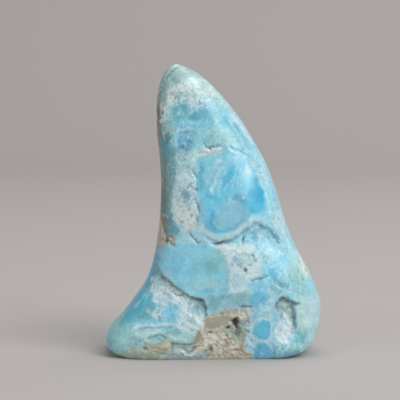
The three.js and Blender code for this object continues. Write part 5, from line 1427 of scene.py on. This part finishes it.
@dataclass(frozen=True)
class PolishedAragonite:
    """Blue aragonite, cut and polished by hand on soft wheels.

    The polish cuts through banded crusts, so the eye meets clouded blues and whites under a satin
    gloss. Where the crusts are porous the wheel can't reach, so they stay chalky and pitted.
    Lights are factors of the crust's own colour; matrix_rough is the roughness over which the
    powder turns from white to cream.
    """

    name: str = "polished aragonite"
    refraction: float = 1.6
    polished: float = 0.38
    gloss_coat: float = 0.35
    coat_roughness: float = 0.15
    unpolished: float = 0.62
    grain_mm: float = 1.7
    grain_light: Span = (0.9, 1.1)
    crumb_mm: float = 0.8
    crumb_contrast: float = 2.7
    least_contrast: float = 0.08
    cloud_mm: float = 4.2
    cloud_light: Span = (0.9, 1.09)
    matrix_rough: Span = (0.36, 0.5)
    chalk_cover: Cover = Cover(0.4, 0.66, 0.88, 0.7)
    crumb_cover: Cover = Cover(0.5, 0.8, 0.97, 0.85)
    gap_cover: Cover = Cover(-0.35, 0.27, 0.09, 0.6)
    vein_mm: float = 8.0
    vein_bend: float = 0.6
    vein_width: float = 0.035
    vein_strength: float = 0.8
    pit_mm: float = 0.5
    pit_depth_mm: float = 0.45
    pit_strength: float = 0.9

    def shade(
        self, mix: Recipe, place: Socket, tint: Socket, chalk: Socket, grains: tuple[Socket, Socket]
    ) -> Socket:
        """Shades each crust with clouds of denser and looser crystal, grain and crumbs.

        Args:
            mix: The recipe that the steps are added to.
            place: Where each point lies on the stone.
            tint: The colour of the crusts.
            chalk: The share of chalk.
            grains: The noise of the fibres and that of the crumbs.

        Returns:
            The shaded colour.
        """
        grain, crumb = grains
        cloud = mix.noise(place, self.cloud_mm, 3.0, 0.55)
        light = mix.maths(
            "MULTIPLY", mix.span(cloud, NOISE_SPAN, self.cloud_light),
            mix.span(grain, NOISE_SPAN, self.grain_light),
        )
        # The crumbs stand out most where there is most chalk
        contrast = mix.maths("MULTIPLY_ADD", chalk, self.crumb_contrast, self.least_contrast)
        crumb_light = mix.maths("MULTIPLY_ADD", mix.maths("SUBTRACT", crumb, 0.5), contrast, 1.0)
        light = mix.maths("MULTIPLY", light, crumb_light)
        return add_node(
            mix.tree, "ShaderNodeVectorMath", {"operation": "SCALE"}, {0: tint, "Scale": light}
        ).outputs[0]

    def pits(self, mix: Recipe, place: Socket, rough: Socket) -> Socket:
        """Adds the pits that the wheel has not reached.

        Args:
            mix: The recipe that the steps are added to.
            place: Where each point lies on the stone.
            rough: How far each point is from polished.

        Returns:
            The pitted surface's direction.
        """
        height = mix.maths("MULTIPLY", mix.noise(place, self.pit_mm, 2.0, 0.6), rough)
        return add_node(
            mix.tree, "ShaderNodeBump",
            inputs={
                "Strength": self.pit_strength, "Distance": self.pit_depth_mm * MM, "Height": height,
            },
        ).outputs["Normal"]

    def build(self) -> bpy.types.Material:
        """Makes the material from the stone's own attributes and solid noise.

        Returns:
            The material.
        """
        material = bpy.data.materials.new(self.name)
        material.use_nodes = True
        material.node_tree.nodes.clear()
        mix = Recipe(material.node_tree)
        place = add_node(mix.tree, "ShaderNodeTexCoord").outputs["Object"]
        tint = mix.attribute("crust_tint", "Color")
        chalk, rough, dust_and_shade = (mix.attribute(name) for name in ("speckle", "rough", "dust_and_shade"))
        # Fibres a millimetre or two long, and crumbs under a millimetre, give a fine grain
        sizes = (self.grain_mm, self.crumb_mm)
        grain, crumb = (mix.noise(place, size, 4.0, 0.68) for size in sizes)
        colour = self.shade(mix, place, tint, chalk, (grain, crumb))
        # The chalk is white in the blue crusts and cream in the rough matrix
        creamy = mix.span(rough, self.matrix_rough, (0.0, 1.0))
        powder = mix.blend(creamy, Mineral.SNOW, Mineral.CREAM)
        # Chalk fills the spaces between the fibres where a crust is porous
        colour = mix.cover(self.chalk_cover, chalk, grain, colour, powder)
        # Where it is thickest, the chalk breaks into crumbs
        colour = mix.cover(self.crumb_cover, chalk, crumb, colour, powder)
        # The gaps that the chalk leaves are grey-green
        colour = mix.cover(self.gap_cover, chalk, grain, colour, Mineral.SLATE)
        # Healed cracks are soft white threads that wander like marbling
        marbling = mix.noise(place, self.vein_mm, 4.0, 0.55, self.vein_bend)
        off_vein = mix.maths("ABSOLUTE", mix.maths("SUBTRACT", marbling, 0.5))
        vein = mix.span(off_vein, (self.vein_width, 0.0), (0.0, self.vein_strength), smooth=True)
        colour = mix.blend(mix.maths("MULTIPLY", vein, chalk), colour, powder)
        # Painted shade with some polish dust: umber is laid where the relief sinks below its
        # surroundings, in the cracks and under the ledges
        colour = mix.blend(dust_and_shade, colour, Mineral.UMBER)
        shader = add_node(
            mix.tree, "ShaderNodeBsdfPrincipled",
            inputs={
                "Base Color": colour,
                "Roughness": mix.span(rough, (0.0, 1.0), (self.polished, self.unpolished)),
                "IOR": self.refraction,
                "Coat Weight": self.gloss_coat,
                "Coat Roughness": self.coat_roughness,
                "Normal": self.pits(mix, place, rough),
            },
        )
        add_node(mix.tree, "ShaderNodeOutputMaterial", inputs={"Surface": shader.outputs[0]})
        return material


@dataclass(frozen=True)
class MattFloor:
    """Matt pale board, smooth and even, that shows nothing but soft shadow."""

    name: str = "matt pale board"
    colour: str = "#C3BDBA"
    roughness: float = 0.85

    def build(self) -> bpy.types.Material:
        """Makes the material."""
        material = bpy.data.materials.new(self.name)
        material.use_nodes = True
        shader = material.node_tree.nodes["Principled BSDF"]
        shader.inputs["Base Color"].default_value = (*linear(self.colour), 1.0)
        shader.inputs["Roughness"].default_value = self.roughness
        return material


# Shapes and objects

def pick(drawn: list[Drawn], kind: type[Drawn]) -> list[Drawn]:
    """Picks the vertices or the edges out of what an operator has drawn."""
    return [part for part in drawn if isinstance(part, kind)]


def to_object(shape: bmesh.types.BMesh, name: str) -> bpy.types.Object:
    """Turns a finished shape into a smooth object of the scene.

    Args:
        shape: The shape, which is freed.
        name: The name of the object and its mesh.

    Returns:
        The object.
    """
    for face in shape.faces:
        face.smooth = True
    mesh = bpy.data.meshes.new(name)
    shape.to_mesh(mesh)
    shape.free()
    made = bpy.data.objects.new(name, mesh)
    bpy.context.scene.collection.objects.link(made)
    return made


# The stone itself

class Reading(Enum):
    """How far along each reading of the noise is taken, so that no two are alike."""

    WANDER = 3.7
    FRAY = 5.9
    LUMP = 7.9
    BROAD_LUMP = 8.7
    DRIFT = 11.3
    CREVICE = 15.1
    RAGGED = 21.7
    FINE_RAGGED = 27.1


@dataclass
class Stone:
    """The aragonite, as one closed skin.

    Columns run round the stone and rows up it; all lengths are in millimetres. Crumbly is the
    roughness over which crevices open. Seam, carved and strayed are spans of reach, which is 1
    where a face is thickest and 0 on the outline: where the crusts of the two faces blend, where
    the relief comes in, and where the crusts stop straying.
    """

    form: StoneForm = field(default_factory=StoneForm)
    noise_seed: int = 5
    front_columns: int = 262
    back_columns: int = 138
    base_rows: int = 12
    side_rows: int = 228
    wander_mm: float = 0.6
    wander_step_mm: float = 2.8
    fray_mm: float = 0.34
    fray_step_mm: float = 0.95
    ragged_step_mm: float = 1.5
    drift_mm: float = 5.0
    drift_step_mm: float = 11.0
    lump_mm: float = 0.29
    lump_step_mm: float = 1.3
    crevice_mm: float = 0.35
    crevice_step_mm: float = 2.6
    crevice_width: float = 0.09
    crumbly: Span = (0.3, 0.5)
    seam: Span = (-0.2, 0.2)
    seam_drift: float = 0.05
    carved: Span = (0.1, 0.45)
    strayed: Span = (0.5, 0.15)
    fine_share: float = 0.75
    plain_chalk: float = 0.3
    cavity_steps: int = 4
    # How strongly, and at most how far, the hollows are darkened with painted shade and dust
    dust_and_shade: float = 0.9
    most_dust_and_shade: float = 0.6
    finish: PolishedAragonite = field(default_factory=PolishedAragonite)

    @property
    def columns(self) -> int:
        """Gives the number of columns round the stone."""
        return self.front_columns + self.back_columns

    @property
    def rows(self) -> int:
        """Gives the number of steps from the middle of the base to the tip."""
        return self.base_rows + self.side_rows

    def heights(self) -> np.ndarray:
        """Spaces the rows up the side, closer where the skin turns over at foot and tip.

        Returns:
            The height of each row from the edge of the base to the tip.
        """
        knots = [(0, 0), (0.03, 0.9), (0.09, 4.0), (0.5, 42), (0.88, 86), (0.96, 95.2),
                 (0.985, 97.0), (1, self.form.height)]
        return through(knots, np.linspace(0, 1, self.side_rows + 1))

    def smooth_skin(self) -> np.ndarray:
        """Lays every row of the unbroken stone.

        Returns:
            The place of each vertex, by row from the middle of the base and by column.
        """
        rings = []
        foot = self.form.ring(0.0, self.front_columns, self.back_columns)
        centre = foot.mean(0)
        for row in range(self.base_rows):
            flat = centre + (foot - centre) * (row / self.base_rows)
            rings.append(np.column_stack([flat, np.zeros(self.columns)]))
        for height in self.heights()[:-1]:
            ring = self.form.ring(height, self.front_columns, self.back_columns)
            rings.append(np.column_stack([ring, np.full(self.columns, height)]))
        tip = (*self.form.tip, self.form.height)
        rings.append(np.tile(tip, (self.columns, 1)))
        return np.array(rings)

    @staticmethod
    def solid_noise(place: np.ndarray, step: float, reading: Reading) -> np.ndarray:
        """Reads smooth noise in space.

        Args:
            place: Points, one a row.
            step: The size of its lumps.
            reading: Which of the readings this is.

        Returns:
            Three values from -1 to 1 for each point.
        """
        shift = reading.value
        return np.array([
            noise.noise_vector((x / step + shift, y / step + shift, z / step))
            for x, y, z in place.tolist()
        ])

    def relief(self, side: Side, x: np.ndarray, z: np.ndarray) -> np.ndarray:
        """Adds up what breaks one face.

        Args:
            side: The face.
            x: Places across it.
            z: Places up it.

        Returns:
            The depth at each place.
        """
        broad = np.zeros(len(x))
        fine = np.zeros(len(x))
        lips = np.zeros(len(x))
        for feature in front_relief() if side is Side.FRONT else back_relief():
            at = near(x, z, feature.corners(), RELIEF_REACH)
            depth = feature.depth(x[at], z[at])
            if isinstance(feature, (Ledge, Hollow)):
                broad[at] = np.maximum(broad[at], depth)
            else:
                fine[at] = np.maximum(fine[at], depth)
                lips[at] = np.minimum(lips[at], depth)
        return broad + self.fine_share * fine + lips

    def dress(
        self, side: Side, x: np.ndarray, z: np.ndarray, ragged: np.ndarray
    ) -> tuple[np.ndarray, ...]:
        """Lays the crusts of one face over each other.

        Args:
            side: The face.
            x: Places across it.
            z: Places up it.
            ragged: How far the crusts' edges stray at each place, from -1 to 1.

        Returns:
            The colour, the share of chalk and the roughness at each place.
        """
        if side is Side.FRONT:
            crusts = [
                *tip_crusts(), *left_crusts(), *lens_crusts(), *oval_crusts(), *foot_crusts(),
                *matrix_crusts(), *right_crusts(),
            ]
        else:
            crusts = back_crusts()
        colour = np.tile(linear(Mineral.ICE.value), (len(x), 1))
        chalk = np.full(len(x), self.plain_chalk)
        rough = np.zeros(len(x))
        for crust in crusts:
            at = near(x, z, crust.corners(), CRUST_REACH)
            share = crust.share(x[at], z[at], ragged[at])
            colour[at] += (linear(crust.mineral.value) - colour[at]) * share[:, None]
            if crust.speckle is not None:
                chalk[at] += (crust.speckle - chalk[at]) * share
            if crust.rough is not None:
                rough[at] += (crust.rough - rough[at]) * share
        return colour, chalk, rough

    def reach(self, side: Side, place: np.ndarray) -> np.ndarray:
        """Finds how far round the edge each place lies.

        Args:
            side: The face that it is measured from.
            place: Points, one a row.

        Returns:
            1 where that face is thickest, 0 on the outline, and below 0 on the other face.
        """
        knots = self.form.front if side is Side.FRONT else self.form.back
        return place[:, 1] / through(knots, place[:, 2])

    def cavity(self, depth: np.ndarray) -> np.ndarray:
        """Finds the hollows where shade is painted and polish dust stays, from how far each place
        lies below its surroundings.

        Args:
            depth: How deep the relief cuts, by row and column.

        Returns:
            The share of painted shade and polish dust at each place.
        """
        around = depth
        for _ in range(self.cavity_steps):
            up_down = np.pad(around, ((1, 1), (0, 0)), "edge")
            left, right = np.roll(around, 1, 1), np.roll(around, -1, 1)
            around = (up_down[2:] + up_down[:-2] + left + right) / 4
        return np.clip(self.dust_and_shade * (depth - around), 0, self.most_dust_and_shade)

    def both_faces(self, place: np.ndarray) -> tuple[np.ndarray, ...]:
        """Carves and dresses the two faces, which blend where they meet.

        Args:
            place: The smooth skin, one point a row.

        Returns:
            How far each point moves along y, its colour, its share of chalk and its roughness.
        """
        wander = self.wander_mm * self.solid_noise(place, self.wander_step_mm, Reading.WANDER)
        wander += self.fray_mm * self.solid_noise(place, self.fray_step_mm, Reading.FRAY)
        drift = self.drift_mm * self.solid_noise(place, self.drift_step_mm, Reading.DRIFT)
        x = place[:, 0] + wander[:, 0]
        z = place[:, 2] + wander[:, 2]
        fine_step = self.ragged_step_mm / 2.3
        ragged = 0.6 * self.solid_noise(place, self.ragged_step_mm, Reading.RAGGED)[:, 0]
        ragged += 0.4 * self.solid_noise(place, fine_step, Reading.FINE_RAGGED)[:, 0]
        push = np.zeros(len(place))
        colour = np.zeros((len(place), 3))
        chalk = np.zeros(len(place))
        rough = np.zeros(len(place))
        past_seam = self.reach(Side.FRONT, place) + self.seam_drift * drift[:, 1]
        in_front = ease(*self.seam, past_seam)
        for side in Side:
            reach = self.reach(side, place)
            share = in_front if side is Side.FRONT else 1 - in_front
            push -= side.value * ease(*self.carved, reach) * self.relief(side, x, z)
            off_face = ease(*self.strayed, reach)
            tint, white, dull = self.dress(
                side, x + off_face * drift[:, 0], z + off_face * drift[:, 2], ragged
            )
            colour += tint * share[:, None]
            chalk += white * share
            rough += dull * share
        return push, colour, chalk, rough

    def crevices(self, place: np.ndarray, rough: np.ndarray) -> np.ndarray:
        """Gives how far each point sinks along y into the crevices of the crumbly crusts."""
        noisy = self.solid_noise(place, self.crevice_step_mm, Reading.CREVICE)
        inward = np.sign(-place[:, 1])
        open_share = ease(self.crevice_width, 0.0, np.abs(noisy[:, 0]))
        return inward * self.crevice_mm * open_share * ease(*self.crumbly, rough)

    def lumps(self, place: np.ndarray) -> np.ndarray:
        """Gives how far each point of a fully rough crust stands off the smooth stone."""
        fine = self.lump_mm * self.solid_noise(place, self.lump_step_mm, Reading.LUMP)
        broad = self.solid_noise(place, 2.1 * self.lump_step_mm, Reading.BROAD_LUMP)
        return fine + 1.4 * self.lump_mm * broad

    def build(self) -> bpy.types.Object:
        """Shapes the skin, dresses it and gives it its finish.

        Returns:
            The stone.
        """
        noise.seed_set(self.noise_seed)
        skin = self.smooth_skin()
        smooth = skin.reshape(-1, 3)
        push, colour, chalk, rough = self.both_faces(smooth)
        push += self.crevices(smooth, rough)
        above_base = ease(0.0, 1.0, smooth[:, 2])
        place = smooth + self.lumps(smooth) * (rough * above_base)[:, None]
        place[:, 1] += push * above_base
        stone, order = self.make_mesh(place)
        kept = {
            "crust_tint": np.column_stack([colour, np.ones(len(place))]),
            "speckle": chalk,
            "rough": rough,
            # Painted shade and dust in the hollows, from the relief's depth
            "dust_and_shade": self.cavity(np.abs(push).reshape(skin.shape[:2])).ravel(),
        }
        for name, values in kept.items():
            self.store(stone.data, name, values[order])
        stone.data.materials.append(self.finish.build())
        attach(stone, "root")
        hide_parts("aragonite")
        return stone

    def make_mesh(self, place: np.ndarray) -> tuple[bpy.types.Object, np.ndarray]:
        """Draws a disc up ring by ring, and moves each ring to its place on the stone.

        Args:
            place: Where each vertex goes, by row from the middle of the base and then by column.

        Returns:
            The stone's object, and the row of place that each of its vertices took.
        """
        shape = bmesh.new()
        bmesh.ops.create_circle(
            shape, cap_ends=True, cap_tris=True, segments=self.columns, radius=1.0
        )
        shape.verts.ensure_lookup_table()
        centre = min(shape.verts, key=lambda vertex: vertex.co.length)
        ring = [vertex for vertex in shape.verts if vertex is not centre]
        rings = [[centre], self.by_column(ring)]
        edges = [edge for edge in shape.edges if centre not in edge.verts]
        for _ in range(2, self.rows + 1):
            drawn = bmesh.ops.extrude_edge_only(shape, edges=edges)["geom"]
            ring = pick(drawn, bmesh.types.BMVert)
            fresh = set(ring)
            edges = [
                edge for edge in pick(drawn, bmesh.types.BMEdge) if fresh.issuperset(edge.verts)
            ]
            rings.append(self.by_column(ring))
        skin = place.reshape(self.rows + 1, self.columns, 3) * MM
        for row, ring in zip(skin, rings):
            for spot, vertex in zip(row, ring):
                vertex.co = spot
        bmesh.ops.pointmerge(shape, verts=rings[-1], merge_co=Vector(skin[-1, 0]))
        rings[-1] = rings[-1][:1]
        bmesh.ops.recalc_face_normals(shape, faces=shape.faces)
        shape.verts.index_update()
        order = np.zeros(len(shape.verts), int)
        for row, ring in enumerate(rings):
            for column, vertex in enumerate(ring):
                if vertex.is_valid:
                    order[vertex.index] = row * self.columns + column
        return to_object(shape, "aragonite_skin"), order

    @staticmethod
    def by_column(ring: list[bmesh.types.BMVert]) -> list[bmesh.types.BMVert]:
        """Sorts one ring of a round skin by how far round the stone its vertices lie."""
        return sorted(ring, key=lambda vertex: math.atan2(vertex.co.y, vertex.co.x) % math.tau)

    @staticmethod
    def store(mesh: bpy.types.Mesh, name: str, values: np.ndarray) -> None:
        """Keeps a value or a colour with each vertex.

        Args:
            mesh: The mesh that keeps them.
            name: The name that the finish reads them by.
            values: One row for each vertex.
        """
        is_colour = values.ndim == 2
        kept = mesh.attributes.new(name, "FLOAT_COLOR" if is_colour else "FLOAT", "POINT")
        kept.data.foreach_set("color" if is_colour else "value", values.astype(np.float32).ravel())


# The studio

@dataclass
class Board:
    """The floor, which sweeps up behind the stone; lengths are in metres."""

    width: float = 5.0
    near: float = -2.0
    bend_start: float = 0.9
    bend_radius: float = 0.6
    wall: float = 2.0
    bend_steps: int = 24
    finish: MattFloor = field(default_factory=MattFloor)

    def build(self) -> bpy.types.Object:
        """Draws one edge along the floor and up the wall.

        Returns:
            The board.
        """
        shape = bmesh.new()
        ends = [shape.verts.new((side * self.width / 2, self.near, 0)) for side in (-1, 1)]
        edge = shape.edges.new(ends)
        drawn = bmesh.ops.extrude_edge_only(shape, edges=[edge])["geom"]
        far = pick(drawn, bmesh.types.BMVert)
        bmesh.ops.translate(shape, verts=far, vec=(0, self.bend_start - self.near, 0))
        far_edge = [
            edge for edge in pick(drawn, bmesh.types.BMEdge) if all(v in far for v in edge.verts)
        ]
        turned = bmesh.ops.spin(
            shape, geom=far + far_edge, cent=(0, self.bend_start, self.bend_radius),
            axis=(1, 0, 0), angle=math.pi / 2, steps=self.bend_steps, use_merge=False,
            use_duplicate=False,
        )["geom_last"]
        raised = bmesh.ops.extrude_edge_only(shape, edges=pick(turned, bmesh.types.BMEdge))["geom"]
        top = pick(raised, bmesh.types.BMVert)
        bmesh.ops.translate(shape, verts=top, vec=(0, 0, self.wall))
        bmesh.ops.remove_doubles(shape, verts=shape.verts, dist=1e-6)
        bmesh.ops.recalc_face_normals(shape, faces=shape.faces)
        board = to_object(shape, "board")
        board.data.materials.append(self.finish.build())
        return board


@dataclass(frozen=True)
class SoftBox:
    """A soft rectangular light; lengths are in metres and power in watts."""

    name: str
    place: Place
    size: tuple[float, float]
    power: float
    colour: str = "#FFFFFF"
    aim: Place = (0.0, 0.0, 0.045)

    def build(self) -> bpy.types.Object:
        """Hangs the light and turns it to the stone.

        Returns:
            The light.
        """
        lamp = bpy.data.lights.new(self.name, "AREA")
        lamp.shape = "RECTANGLE"
        lamp.size, lamp.size_y = self.size
        lamp.energy = self.power
        lamp.color = linear(self.colour)
        light = bpy.data.objects.new(self.name, lamp)
        light.location = self.place
        sight = Vector(self.aim) - Vector(self.place)
        light.rotation_euler = sight.to_track_quat("-Z", "Y").to_euler()
        bpy.context.scene.collection.objects.link(light)
        return light


@dataclass
class Studio:
    """Pale surroundings, soft lights and the camera; lengths are in metres."""

    target: Place = (-0.00457, 0.0, 0.05158)
    distance: float = 0.55
    elevation: float = 5.0
    lens_mm: float = 146.28
    sensor_mm: float = 36.0
    air: str = "#E8E8EA"
    air_light: float = 0.36
    lights: tuple[SoftBox, ...] = (
        SoftBox("key", (1.1, -1.0, 1.2), (1.2, 1.2), 17.4),
        SoftBox("fill", (-1.3, -1.1, 0.6), (1.2, 1.2), 3.4),
        SoftBox("top", (0.1, 0.3, 1.6), (1.2, 0.9), 7.0),
        SoftBox("edge", (1.2, 0.9, 0.8), (0.6, 0.8), 1.8),
        SoftBox("lamp", (0.75, -0.3, 1.5), (0.22, 0.22), 1.5),
    )

    def build_camera(self) -> bpy.types.Object:
        """Points the camera at the stone from the front, a little above its middle.

        Returns:
            The camera.
        """
        eye = bpy.data.cameras.new("camera")
        eye.lens = self.lens_mm
        eye.sensor_width = self.sensor_mm
        camera = bpy.data.objects.new("camera", eye)
        tilt = math.radians(self.elevation)
        back_off = Vector((0, -math.cos(tilt), math.sin(tilt))) * self.distance
        camera.location = Vector(self.target) + back_off
        camera.rotation_euler = (math.pi / 2 - tilt, 0, 0)
        bpy.context.scene.collection.objects.link(camera)
        bpy.context.scene.camera = camera
        return camera

    def build(self) -> None:
        """Sets up the air, the lights and the camera."""
        scene = bpy.context.scene
        scene.view_settings.view_transform = "Standard"
        world = bpy.data.worlds.new("pale studio")
        world.use_nodes = True
        background = world.node_tree.nodes["Background"]
        background.inputs["Color"].default_value = (*linear(self.air), 1.0)
        background.inputs["Strength"].default_value = self.air_light
        scene.world = world
        for box in self.lights:
            box.build()
            LOG.info("light: %s", box.name)
        self.build_camera()


def main() -> None:
    """Builds the studio and the stone in order."""
    logging.basicConfig(level=logging.INFO, format="%(name)s: %(message)s")
    Studio().build()
    LOG.info("studio: lights and camera in place")
    board = Board().build()
    LOG.info("board: %d faces", len(board.data.polygons))
    stone = Stone().build()
    LOG.info("stone: %d vertices, %d faces", len(stone.data.vertices), len(stone.data.polygons))


if __name__ == "__main__":
    main()
